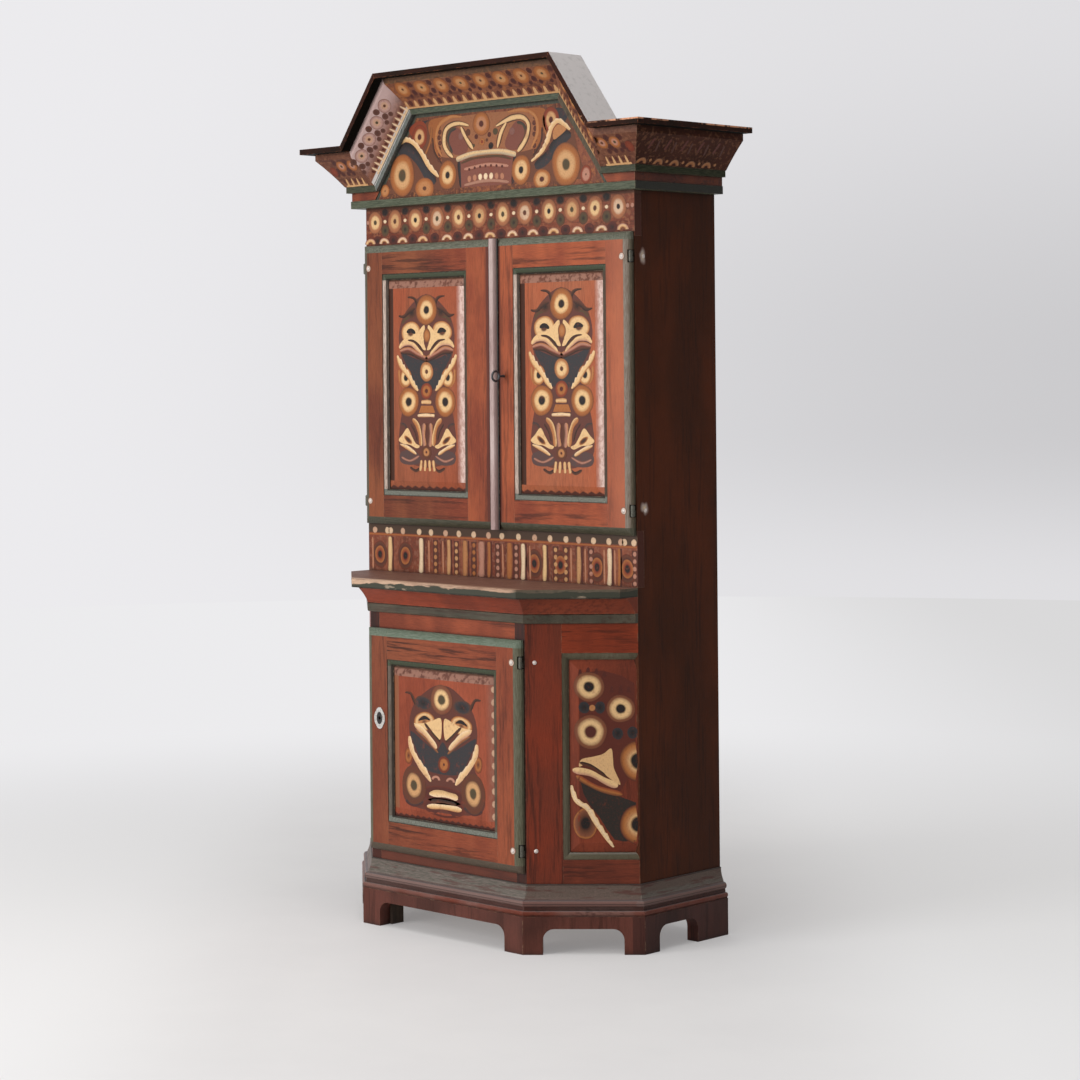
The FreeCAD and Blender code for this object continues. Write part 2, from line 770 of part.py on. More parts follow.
def foot_boards():
    section = rectangle((-foot_projection, foot_seat), (0, foot_height))
    front = run("foot_board_front", section, lower_front_width,
                ("plan", front_mitre), ("plan", front_mitre))
    arch(front, "foot_front", foot_front_length, lower_front_width - foot_front_length)
    move_to(front, -lower_half, lower_front, 0)
    cant = run("foot_board_cant_right", section, cant_length,
               ("plan", front_mitre), ("plan", side_mitre))
    arch(cant, "foot_cant", foot_cant_length, cant_length - foot_cant_length)
    move_to(cant, lower_half, lower_front, 0, cant_angle)
    side = run("foot_board_side_right", section, upper_depth, ("plan", side_mitre), square)
    arch(side, "foot_side", foot_side_front_length, upper_depth - foot_side_back_length)
    move_to(side, half_width, upper_front, 0, 90)
    cants = group("foot_boards_cant", [cant, mirrored("foot_board_cant_left", cant)])
    sides = group("foot_boards_side", [side, mirrored("foot_board_side_left", side)])
    return [front, cants, sides]


def glue_blocks():
    thick = glue_block_section
    upright = (0, foot_height)
    front_x = lower_half - glue_block_offset
    side_x = half_width - foot_seat
    rights = [box("block_front", (front_x - thick, front_x),
                  (lower_front + foot_seat, lower_front + foot_seat + thick), upright),
              box("block_side", (side_x - thick, side_x),
                  (upper_front + glue_block_offset, upper_front + glue_block_offset + thick),
                  upright),
              box("block_back", (side_x - thick, side_x), (back - thick, back), upright)]
    return both_sides("glue_blocks", rights)


# ---------------------------------------------------------------- crown

def cornice_band():
    section = [(0, 0), (-band_projection, 0), (-band_projection, band_strip_height),
               (-(band_projection - band_step), band_strip_height),
               (-(band_projection - band_step), band_height), (0, band_height)]
    front = run("cornice_band_front", section, body_width, ("plan", 1), ("plan", 1))
    foot = tympanum_foot(band_top)
    low_foot = tympanum_foot(cornice_bottom + band_strip_height)
    notch = [(half_width - low_foot, band_strip_height), (half_width + low_foot,
                                                          band_strip_height),
             (half_width + foot, band_height), (half_width + foot, 2 * band_height),
             (half_width - foot, 2 * band_height), (half_width - foot, band_height)]
    pocket(front, "band_notch", "XZ_Plane", notch, far_through)
    move_to(front, -half_width, upper_front, cornice_bottom)
    side = run("cornice_band_right", section, upper_depth, ("plan", 1), square)
    move_to(side, half_width, upper_front, cornice_bottom, 90)
    return group("cornice_band", [front, side, mirrored("cornice_band_left", side)])


def tympanum_foot(level):
    """Half width of the painted field between the sloping mouldings, at a level."""
    return gable_foot_from_middle - foot_shift + (band_top - level) * slope_cut


def gable_board():
    strip_top = cornice_bottom + band_strip_height
    gable_cap = cap_thickness * gable_shrink
    right = [(tympanum_foot(strip_top), strip_top), (tympanum_foot(band_top), band_top),
             (half_width, band_top), (half_width, cap_underside),
             (gable_foot_from_middle - cap_thickness * low_foot_mitre, cap_underside),
             (gable_ridge_half - gable_cap * slope_mitre, ridge_top - gable_cap)]
    left = [(-x, z) for x, z in reversed(right)]
    start = -(upper_front - gable_board_front + gable_board_thickness)
    return board("gable_board", "XZ_Plane", right + left, gable_board_thickness, start)


def gable_blocks():
    depth = (upper_front - gable_board_front + gable_board_thickness,
             upper_front + front_thickness)
    outer = box("gable_block_right", (inside_half - gable_block_width, inside_half), depth,
                (band_top, cap_underside))
    inner = box("gable_batten_right",
                (gable_batten_from_middle, gable_batten_from_middle + gable_block_width), depth,
                (band_top, band_top + gable_batten_height))
    return group("gable_blocks", [outer, inner, mirrored("gable_block_left", outer),
                                  mirrored("gable_batten_left", inner)])


def cove_section(seat, shrink=1):
    """Fillet, shallow hollow and lip; the seat is the projection of the face it is glued to."""
    under_cap = -(cap_thickness * shrink)
    fillet_top = -((cornice_height - cornice_fillet_height) * shrink)
    bottom = -(cornice_height * shrink)
    return [(-seat, under_cap), (-seat, bottom), (-cornice_fillet_projection, bottom),
            (-cornice_fillet_projection, fillet_top),
            (-cove_foot_projection, fillet_top, cove_radius),
            (-cove_top_projection, under_cap - cove_lip_height * shrink),
            (-cove_top_projection, under_cap)]


def cap_section(shrink=1):
    cap_back = gable_board_front - gable_board_thickness
    return rectangle((-cap_projection, -cap_back), (-(cap_thickness * shrink), 0))


def crown_runs(prefix, low_section, gable_section):
    """Ridge, slopes and low lengths of one part of the crown, with mitred corners."""
    ridge_mitre = ("face", -slope_mitre)
    ridge = run(prefix + "_ridge", gable_section, 2 * gable_ridge_half, ridge_mitre, ridge_mitre)
    move_to(ridge, -gable_ridge_half, upper_front, ridge_top)
    slope = run(prefix + "_slope_right", gable_section, slope_length, ridge_mitre,
                ("face", slope_foot_mitre))
    move_to(slope, gable_ridge_half, upper_front, ridge_top, slope_angle, (0, 1, 0))
    low = run(prefix + "_low_right", low_section, low_run, ("face", low_foot_mitre),
              ("plan", 1))
    move_to(low, gable_foot_from_middle, upper_front, low_cornice_top)
    slopes = group(prefix + "_slopes", [slope, mirrored(prefix + "_slope_left", slope)])
    lows = group(prefix + "_lows", [low, mirrored(prefix + "_low_left", low)])
    return [ridge, slopes, lows]


def cove_returns():
    side = run("cove_return_right", cove_section(0), upper_depth, ("plan", 1), square)
    move_to(side, half_width, upper_front, low_cornice_top, 90)
    return group("cove_returns", [side, mirrored("cove_return_left", side)])


def cap_returns():
    cap_back = gable_board_front - gable_board_thickness
    outline = [(half_width + cap_projection, upper_front - cap_projection),
               (half_width + cap_projection, back), (inside_half, back),
               (inside_half, upper_front - cap_back),
               (half_width + cap_back, upper_front - cap_back)]
    side = board("cap_return_right", "XY_Plane", outline, cap_thickness, cap_underside)
    return group("cap_returns", [side, mirrored("cap_return_left", side)])


# ---------------------------------------------------------------- doors

def lip_waste(face, edge, inward):
    """What the rounded lip takes off a front edge, in (depth, edge) coordinates."""
    return [(face, edge), (face, edge + inward * lip_width, inward * lip_radius),
            (face + lip_depth, edge)]


def stile(name, edge, inward, width, z, face, lipped):
    """An upright of a door frame: a lip on its outer edge and ends, a groove on its inner one."""
    rear = face + door_thickness
    inner = edge + inward * width
    groove_x = inner - inward * groove_depth
    groove_y = (face + groove_front, face + groove_front + tongue_thickness)
    outline = [(inner, face), (inner, groove_y[0]), (groove_x, groove_y[0]),
               (groove_x, groove_y[1]), (inner, groove_y[1]), (inner, rear), (edge, rear)]
    if lipped:
        outline += [(edge, face + lip_depth, inward * lip_radius), (edge + inward * lip_width,
                                                                    face)]
    else:
        outline += [(edge, face)]
    body = board(name, "XY_Plane", outline, z[1] - z[0], z[0])
    for tag, end, into in (("bottom", z[0], 1), ("top", z[1], -1)):
        pocket(body, f"{name}_{tag}_lip", "YZ_Plane", lip_waste(face, end, into), far_through)
    return body


def rail(name, edge, inward, x, face):
    """A cross piece of a door frame, between the stiles."""
    rear = face + door_thickness
    inner = edge + inward * frame_width
    groove_z = inner - inward * groove_depth
    groove_y = (face + groove_front, face + groove_front + tongue_thickness)
    outline = [(face, inner), (groove_y[0], inner), (groove_y[0], groove_z),
               (groove_y[1], groove_z), (groove_y[1], inner), (rear, inner), (rear, edge),
               (face + lip_depth, edge, -inward * lip_radius), (face, edge + inward * lip_width)]
    return board(name, "YZ_Plane", outline, x[1] - x[0], x[0])


def door_nail_holes(name, x, levels, face):
    return [nail_hole(f"{name}_{tag}_hole", x, face, level, door_nail_length, 0)
            for tag, level in levels]


def hinge_cutouts(name, side, edge, face, levels):
    """Notches for the knuckles and mortises for the leaves in a hinge stile."""
    tools = []
    pin_x = edge + side * (door_inset - pin_inset)
    wall = pin_x - side * (knuckle_radius + knuckle_clearance)
    mid = face + door_thickness / 2
    half_notch = hinge_half_height + pin_overrun + pin_overrun / 2
    for tag, level in levels:
        across = ordered(wall, edge + side * lip_width)
        tools.append(box(f"{name}_{tag}_notch", across,
                         (face - lip_depth, face + door_thickness + lip_depth),
                         (level - half_notch, level + half_notch)))
        tools.append(box(f"{name}_{tag}_mortise", ordered(pin_x - side * door_leaf_reach, wall),
                         (mid - leaf_thickness / 2, mid + leaf_thickness / 2),
                         (level - hinge_half_height, level + hinge_half_height)))
    return tools + door_nail_holes(name, edge - side * door_nail_inset, levels, face)


def ordered(first, second):
    return (first, second) if number(first) < number(second) else (second, first)


def door(name, side, hinge_edge, lock_edge, lock_width_of_stile, lock_lipped, z, front, levels,
         stile_cuts):
    """Frame, panel and panel mouldings of one door; side is +1 when it hangs on the right."""
    face = front - door_gap - door_thickness
    hinge_blank = stile(name + "_hinge_stile_blank", hinge_edge, -side, frame_width, z, face, True)
    hinge_stile = cut(name + "_hinge_stile", hinge_blank,
                      hinge_cutouts(name, side, hinge_edge, face, levels))
    lock_stile = stile(name + "_lock_stile", lock_edge, side, lock_width_of_stile, z, face,
                       lock_lipped)
    if stile_cuts:
        lock_stile = cut(name + "_lock_stile_bored", lock_stile, stile_cuts)
    stiles = group(name + "_stiles", [hinge_stile, lock_stile])
    x = ordered(hinge_edge - side * frame_width, lock_edge + side * lock_width_of_stile)
    rails = group(name + "_rails", [rail(name + "_bottom_rail", z[0], 1, x, face),
                                    rail(name + "_top_rail", z[1], -1, x, face)])
    opening_z = (z[0] + frame_width, z[1] - frame_width)
    panel = new_body(name + "_panel")
    raised_panel(panel, name + "_panel", x, opening_z)
    move_to(panel, 0, face, 0)
    wide = x[1] - x[0]
    tall = opening_z[1] - opening_z[0]
    lengths = [moulding_length(name + "_moulding_top", wide, x[0], opening_z[1], 0),
               moulding_length(name + "_moulding_bottom", wide, x[1], opening_z[0], 180),
               moulding_length(name + "_moulding_left", tall, x[0], opening_z[0], -90),
               moulding_length(name + "_moulding_right", tall, x[1], opening_z[1], 90)]
    mouldings = group(name + "_mouldings", lengths)
    move_to(mouldings, 0, face, 0)
    return [stiles, rails, panel, mouldings]


def astragal(face):
    """The rounded strip that covers the meeting edge, planted on the right-hand door."""
    left = meeting_gap / 2
    right = left + astragal_width
    top = face - astragal_height
    outline = [(left, face), (left, face - 3), (left + 3, face - 4, astragal_width),
               (left + 9, top, 2 * astragal_width), (right - 9, top, astragal_width),
               (right - 3, face - 4), (right, face - 3), (right, face)]
    return board("astragal", "XY_Plane", outline, upper_door_height, upper_door_bottom)


# ---------------------------------------------------------------- hinges

def nail(name, x, y, z, length, turn):
    """A round-headed nail, drawn as driven to +Y and then turned about the upright axis."""
    body = new_body(name)
    curve = arc_radius(nail_head_radius, nail_head_height)
    outline = [(0, nail_head_height, -curve), (nail_head_radius, 0), (nail_shank_radius, 0),
               (nail_shank_radius, -length + 3), (0, -length)]
    profile = sketch(body, name + "_profile", "XY_Plane", outline)
    turned = body.newObject("PartDesign::Revolution", name + "_turned")
    turned.Profile = profile
    turned.ReferenceAxis = (profile, ["V_Axis"])
    turned.Angle = 360
    half_turned = doc.addObject("Part::Mirroring", name + "_outward")
    half_turned.Source = body
    half_turned.Normal = FreeCAD.Vector(0, 1, 0)
    return move_to(half_turned, x, y, z, turn)


def knuckle_hinge(name, pin, level, wood, reach, face):
    """One hinge on the right: frame leaf, door leaf and pin.

    The frame leaf has the lower knuckle and goes straight back into the wood behind the
    plane "wood"; the door leaf has the upper knuckle and goes left into the stile.
    """
    x, y = pin
    half = leaf_thickness / 2
    low = (level - hinge_half_height, level - knuckle_gap / 2)
    high = (level + knuckle_gap / 2, level + hinge_half_height)
    full = (level - hinge_half_height, level + hinge_half_height)
    bore = pin_radius + pin_clearance
    wall = x - knuckle_radius - knuckle_clearance
    frame_knuckle = rod(name + "_frame_knuckle", knuckle_radius, low[1] - low[0], x, y, low[0])
    frame_neck = box(name + "_frame_neck", (x - half, x + half), (y, wood + knuckle_radius), low)
    frame_plate = box(name + "_frame_plate", (x - half, x + half), (wood, wood + reach), full)
    frame_bore = rod(name + "_frame_bore", bore, 4 * hinge_half_height, x, y,
                     level - 2 * hinge_half_height)
    frame_solid = joined(name + "_frame_solid", [frame_knuckle, frame_neck, frame_plate])
    door_knuckle = rod(name + "_door_knuckle", knuckle_radius, high[1] - high[0], x, y, high[0])
    door_neck = box(name + "_door_neck", (wall - knuckle_radius, x), (y - half, y + half), high)
    door_plate = box(name + "_door_plate", (x - door_leaf_reach, wall), (y - half, y + half),
                     full)
    door_bore = rod(name + "_door_bore", bore, 4 * hinge_half_height, x, y,
                    level - 2 * hinge_half_height)
    door_solid = joined(name + "_door_solid", [door_knuckle, door_neck, door_plate])
    door_hole = nail_hole(name + "_door_hole", x + pin_inset - door_inset - door_nail_inset, face,
                          level, door_nail_length, 0)
    door_leaf = cut(name + "_door_leaf", door_solid, [door_bore, door_hole])
    pin_rod = rod(name + "_pin", pin_radius, 2 * (hinge_half_height + pin_overrun), x, y,
                  level - hinge_half_height - pin_overrun)
    return frame_solid, frame_bore, door_leaf, pin_rod


def upper_hinges():
    """Both hinges of the right upper door, and the mirrored pair of the left one."""
    face = upper_front - door_gap - door_thickness
    pin = (half_width - pin_inset, face + door_thickness / 2)
    frame_pieces, door_pieces, pins = [], [], []
    nail_x = half_width - door_inset - door_nail_inset
    for tag, level in upper_hinge_levels():
        name = f"upper_{tag}_hinge"
        solid, bore, door_leaf, pin_rod = knuckle_hinge(name, pin, level, upper_front,
                                                        side_leaf_reach, face)
        hole = nail_hole(name + "_side_hole", half_width, upper_front + side_nail_inset, level,
                         side_nail_length, 90)
        frame_leaf = cut(name + "_frame_leaf", solid, [bore, hole])
        side_nail = nail(name + "_side_nail", half_width, upper_front + side_nail_inset, level,
                         side_nail_length, 90)
        frame_pieces += [frame_leaf, side_nail]
        door_pieces += [door_leaf, nail(name + "_door_nail", nail_x, face, level,
                                        door_nail_length, 0)]
        pins.append(pin_rod)
    return frame_pieces, door_pieces, pins


def lower_hinges():
    face = lower_front - door_gap - door_thickness
    pin = (lower_half - pin_inset, face + door_thickness / 2)
    frame_pieces, door_pieces, pins = [], [], []
    nail_x = lower_half - door_inset - door_nail_inset
    x, y = cant_point(cant_nail_inset, 0)
    for tag, level in lower_hinge_levels():
        name = f"lower_{tag}_hinge"
        solid, bore, door_leaf, pin_rod = knuckle_hinge(name, pin, level, lower_front,
                                                        post_leaf_reach, face)
        hole = nail_hole(name + "_cant_hole", x, y, level, cant_nail_length, cant_angle)
        frame_leaf = cut(name + "_frame_leaf", solid, [bore, hole])
        cant_nail = nail(name + "_cant_nail", x, y, level, cant_nail_length, cant_angle)
        frame_pieces += [frame_leaf, cant_nail]
        door_pieces += [door_leaf, nail(name + "_door_nail", nail_x, face, level,
                                        door_nail_length, 0)]
        pins.append(pin_rod)
    return frame_pieces, door_pieces, pins


# ---------------------------------------------------------------- locks

def lock(name, case_left, rear, level, key_x, head_setback):
    """Case and bolt on the back of a door; the bolt is thrown to -X."""
    case_right = case_left + lock_width
    slack = bolt_slack
    case = box(name + "_block", (case_left, case_right), (rear, rear + lock_depth),
               (level - lock_half_height, level + lock_half_height))
    tail_y = (rear + bolt_setback, rear + bolt_setback + bolt_thickness)
    head_y = (rear + head_setback, tail_y[1])
    bolt_z = (level - bolt_half_height, level + bolt_half_height)
    head_x = (case_left + slack, case_left + slack + bolt_head_length)
    head = box(name + "_head", head_x, head_y, bolt_z)
    tail = box(name + "_tail", (head_x[1], case_right - lock_edge_margin - bolt_throw), tail_y,
               bolt_z)
    room_z = (bolt_z[0] - slack, bolt_z[1] + slack)
    head_room = box(name + "_head_room", (case_left - slack, head_x[1] + slack),
                    (head_y[0] - 2 * slack, tail_y[1] + slack), room_z)
    tail_room = box(name + "_tail_room", (case_left, case_right - lock_edge_margin),
                    (tail_y[0] - slack, tail_y[1] + slack), room_z)
    bit_room = rod(name + "_bit_room", key_bit_length + 4 * slack, key_bit_depth + 2 * slack,
                   key_x, tail_y[0] - slack, level, 90)
    entry = rod(name + "_entry", key_stem_radius + key_clearance, bolt_setback, key_x,
                tail_y[0], level, 90)
    body = cut(name + "_case", case, [head_room, tail_room, bit_room, entry])
    return body, joined(name + "_bolt", [head, tail])


def upper_lock(face):
    rear = face + door_thickness
    level = upper_door_bottom + upper_lock_rise
    case_left = meeting_gap / 2 + lock_edge_margin
    case, bolt = lock("upper_lock", case_left, rear, level, upper_key_inset, bolt_head_setback)
    tip = rear + bolt_setback - 2 * bolt_slack
    handle_end = face - key_reach
    stem = rod("key_stem", key_stem_radius, tip - handle_end, upper_key_inset, tip, level, 90)
    bit = box("key_bit", (upper_key_inset - key_bit_thickness / 2,
                          upper_key_inset + key_bit_thickness / 2),
              (tip - key_bit_depth + bolt_slack, tip), (level - key_bit_length, level))
    bow = doc.addObject("Part::Torus", "key_bow")
    bind(bow, Radius1=key_bow_radius, Radius2=key_bow_wire)
    move_to(bow, upper_key_inset, handle_end - key_bow_radius, level, 90, (0, 1, 0))
    return case, bolt, joined("upper_key", [stem, bit, bow])


def escutcheon(key_x, level, face):
    """An oval plate of four arcs with a round hole."""
    wide = escutcheon_half_width - escutcheon_side_sagitta
    tall = escutcheon_half_height - escutcheon_end_sagitta
    end_radius = arc_radius(wide, escutcheon_end_sagitta)
    side_radius = arc_radius(tall, escutcheon_side_sagitta)
    outline = [(key_x - wide, level - tall, end_radius), (key_x + wide, level - tall, side_radius),
               (key_x + wide, level + tall, end_radius), (key_x - wide, level + tall, side_radius)]
    plate = board("escutcheon_plate", "XZ_Plane", outline, escutcheon_thickness, -face)
    bore = rod("escutcheon_bore", lower_keyhole_radius, 4 * escutcheon_thickness, key_x,
               face + escutcheon_thickness, level, 90)
    return cut("lower_escutcheon", plate, [bore])


def arc_radius(half_chord, sagitta):
    return (half_chord * half_chord + sagitta * sagitta) / (2 * sagitta)


def lower_lock(face):
    rear = face + door_thickness
    level = lower_door_bottom + lower_lock_rise
    case_left = -(lower_half - post_face_width) + lock_edge_margin / 2
    key_x = -(lower_half - lower_keyhole_inset)
    case, bolt = lock("lower_lock", case_left, rear, level, key_x, bolt_setback)
    return case, bolt, escutcheon(key_x, level, face), key_x, level


# ---------------------------------------------------------------- assembly

def carcass_nodes():
    nodes = [side_board("side_board_left", -1), side_board("side_board_right", 1), back_boards()]
    upper_floor_top = upper_door_bottom
    ceiling = cornice_bottom
    lower_shelf_top = lower_door_bottom + lower_shelf_rise
    shelves = [shelf("upper_shelf_1", upper_floor_top + shelf_spacing),
               shelf("upper_shelf_2", upper_floor_top + 2 * shelf_spacing),
               shelf("lower_shelf", lower_shelf_top)]
    nodes += [group("shelves", shelves), shelf("upper_floor", upper_floor_top),
              shelf("top_board", ceiling), lower_floor()]
    battens = []
    undersides = (("floor_batten", lower_door_bottom), ("shelf_batten", lower_shelf_top),
                  ("upper_floor_batten", upper_floor_top),
                  ("shelf_1_batten", upper_floor_top + shelf_spacing),
                  ("shelf_2_batten", upper_floor_top + 2 * shelf_spacing),
                  ("ceiling_batten", ceiling))
    for name, top in undersides:
        battens += batten_pair(name, top - shelf_thickness)
    nodes += [group("shelf_battens", battens), table_board()]
    front = (upper_front, upper_front + front_thickness)
    across = (-half_width, half_width)
    nodes.append(box("apron_board", across, front, (table_top, upper_door_bottom + door_overlap)))
    nodes.append(box("frieze_board", across, front, (upper_door_top - door_overlap, band_top)))
    nodes += list(corner_posts())
    nodes.append(lower_rails())
    panel = cant_panel()
    nodes += [both_sides("cant_rails", cant_rails()), panel, mirrored("cant_panel_left", panel),
              both_sides("cant_mouldings", cant_mouldings())]
    nodes += [waist_fillet(), waist_cove(), plinth_moulding(), glue_blocks()]
    nodes += foot_boards()
    return nodes


def crown_nodes():
    nodes = [cornice_band(), gable_board(), gable_blocks()]
    nodes += crown_runs("cove", cove_section(gable_board_front),
                        cove_section(gable_board_front, gable_shrink))
    nodes += crown_runs("cap", cap_section(), cap_section(gable_shrink))
    nodes += [cove_returns(), cap_returns()]
    return nodes


def door_nodes():
    upper_face = upper_front - door_gap - door_thickness
    lower_face = lower_front - door_gap - door_thickness
    upper_z = (upper_door_bottom, upper_door_top)
    lower_z = (lower_door_bottom, lower_door_top)
    hinge_x = half_width - door_inset
    lower_hinge_x = lower_half - door_inset
    upper_case, upper_bolt, upper_key = upper_lock(upper_face)
    lower_case, lower_bolt, plate, key_x, lower_level = lower_lock(lower_face)
    upper_level = upper_door_bottom + upper_lock_rise
    through = 4 * door_thickness
    upper_hole = rod("upper_keyhole", key_stem_radius + key_clearance, through, upper_key_inset,
                     upper_face + through / 2, upper_level, 90)
    lower_hole = rod("lower_keyhole", lower_keyhole_radius, through, key_x,
                     lower_face + through / 2, lower_level, 90)
    nodes = door("upper_left_door", -1, -hinge_x, -meeting_gap / 2, meeting_stile_width, False,
                 upper_z, upper_front, upper_hinge_levels(), [])
    nodes += door("upper_right_door", 1, hinge_x, meeting_gap / 2, meeting_stile_width, False,
                  upper_z, upper_front, upper_hinge_levels(), [upper_hole])
    nodes += door("lower_door", 1, lower_hinge_x, -lower_hinge_x, frame_width, True,
                  lower_z, lower_front, lower_hinge_levels(), [lower_hole])
    upper_frame, upper_door, upper_pins = upper_hinges()
    lower_frame, lower_door, lower_pins = lower_hinges()
    left_frame = [mirrored(piece.Label + "_left", piece) for piece in upper_frame]
    left_door = [mirrored(piece.Label + "_left", piece) for piece in upper_door]
    left_pins = [mirrored(piece.Label + "_left", piece) for piece in upper_pins]
    nodes += [group("frame_hinge_leaves", upper_frame + left_frame + lower_frame),
              group("hinge_pins", upper_pins + left_pins + lower_pins),
              group("upper_right_door_leaves", upper_door),
              group("upper_left_door_leaves", left_door),
              group("lower_door_leaves", lower_door),
              astragal(upper_face), upper_case, upper_bolt, upper_key, lower_case, lower_bolt,
              plate]
    return nodes


def write(nodes):
    doc.recompute()
    failed = [item.Name for item in doc.Objects
              if "Invalid" in item.State or "Error" in item.State]
    if failed:
        raise RuntimeError(f"failed: {failed}")
    os.makedirs("parts", exist_ok=True)
    for node in nodes:
        if node.Shape.isNull() or not node.Shape.isValid() or not node.Shape.Solids:
            raise RuntimeError(f"{node.Label} has no valid solid")
    for node in nodes:
        node.Shape.exportStep(f"parts/{node.Label}.step")
        print(node.Label, len(node.Shape.Solids), round(node.Shape.Volume / 1000, 1))
    print(len(nodes), "nodes")


write(carcass_nodes() + crown_nodes() + door_nodes())
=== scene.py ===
"""The looks of a painted corner-cut cupboard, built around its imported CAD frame.

Plain numbers in the ornament are millimetres in the part's frame: x to the right, y to the
back, z up. Blender's own lengths are metres.
"""

import math

import bmesh
import bpy
from mathutils import Matrix, Vector


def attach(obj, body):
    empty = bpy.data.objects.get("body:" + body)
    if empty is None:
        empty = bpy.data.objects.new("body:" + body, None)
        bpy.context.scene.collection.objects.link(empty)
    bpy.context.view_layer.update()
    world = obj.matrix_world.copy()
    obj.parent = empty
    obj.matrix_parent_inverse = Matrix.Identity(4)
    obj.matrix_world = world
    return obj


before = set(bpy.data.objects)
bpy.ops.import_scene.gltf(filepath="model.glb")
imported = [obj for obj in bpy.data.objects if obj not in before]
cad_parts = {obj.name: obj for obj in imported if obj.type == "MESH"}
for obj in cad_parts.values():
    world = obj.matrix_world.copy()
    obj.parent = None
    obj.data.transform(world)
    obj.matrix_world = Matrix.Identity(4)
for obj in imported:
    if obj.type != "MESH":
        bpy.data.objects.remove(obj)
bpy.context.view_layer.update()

MM = 0.001

# Colours of the paints and bare materials, linear light.
ORANGE_RED = (0.32, 0.076, 0.028)
RED = (0.185, 0.036, 0.0155)
RED_BROWN = (0.115, 0.023, 0.011)
GRAINING = (0.034, 0.010, 0.006)
NEAR_BLACK = (0.012, 0.009, 0.008)
SIDE_BROWN = (0.046, 0.013, 0.005)
SIDE_RED = (0.074, 0.018, 0.006)
GREEN = (0.034, 0.042, 0.024)
GREY_GREEN = (0.088, 0.098, 0.064)
BARE_PINE = (0.50, 0.33, 0.18)
INSIDE_PINE = (0.36, 0.235, 0.135)
OLD_PINE = (0.24, 0.15, 0.09)
DUST = (0.46, 0.43, 0.42)
IRON = (0.045, 0.040, 0.038)
PEWTER = (0.52, 0.50, 0.47)

# Colours of the brush ornament.
CREAM = (0.60, 0.385, 0.185)
PALE = (0.64, 0.47, 0.30)
TAN = (0.36, 0.155, 0.058)
OCHRE = (0.30, 0.105, 0.030)
PINK = (0.36, 0.17, 0.115)
BROWN = (0.085, 0.032, 0.017)
MAROON = (0.066, 0.017, 0.012)
INK = (0.012, 0.010, 0.009)
SLATE = (0.028, 0.027, 0.029)
OLIVE = (0.060, 0.045, 0.022)


def rgba(colour):
    return (*colour, 1.0)


def blend(a, b, share):
    return tuple(x + (y - x) * share for x, y in zip(a, b))


def scaled(colour, factor):
    return tuple(min(1.0, factor * c) for c in colour)


def placed(name, data):
    """A new object in the scene."""
    thing = bpy.data.objects.new(name, data)
    bpy.context.scene.collection.objects.link(thing)
    return thing


class Nodes:
    """A node tree, with short calls for the nodes that this scene uses."""

    def __init__(self, tree):
        self.tree = tree
        tree.nodes.clear()

    def add(self, kind, inputs=None, **settings):
        node = self.tree.nodes.new("ShaderNode" + kind)
        for key, value in settings.items():
            setattr(node, key, value)
        for key, value in (inputs or {}).items():
            socket = node.inputs[key]
            if isinstance(value, bpy.types.NodeSocket):
                self.tree.links.new(value, socket)
            elif isinstance(value, tuple) and len(value) == 3 and socket.type == "RGBA":
                socket.default_value = rgba(value)
            else:
                socket.default_value = value
        return node

    def math(self, operation, a, b=0.0, c=0.0):
        return self.add("Math", {0: a, 1: b, 2: c}, operation=operation).outputs[0]

    def times(self, a, b):
        return self.math("MULTIPLY", a, b)

    def most(self, a, b):
        return self.math("MAXIMUM", a, b)

    def dot(self, a, b):
        return self.add("VectorMath", {0: a, 1: b}, operation="DOT_PRODUCT").outputs["Value"]

    def rise(self, value, low, high, start=0.0, end=1.0):
        """start below low, end above high and smooth between; low above high turns it round."""
        node = self.add("MapRange", {"Value": value, "From Min": low, "From Max": high,
                                     "To Min": start, "To Max": end},
                        interpolation_type="SMOOTHSTEP")
        return node.outputs[0]

    def above(self, value, limit, soft=0.0006):
        return self.rise(value, limit - soft, limit + soft)

    def below(self, value, limit, soft=0.0006):
        return self.rise(value, limit + soft, limit - soft)

    def between(self, value, low, high, soft=0.0006):
        return self.times(self.above(value, low, soft), self.below(value, high, soft))

    def mix(self, share, a, b, blend="MIX"):
        node = self.add("Mix", {0: share, 6: a, 7: b}, data_type="RGBA", blend_type=blend)
        return node.outputs[2]


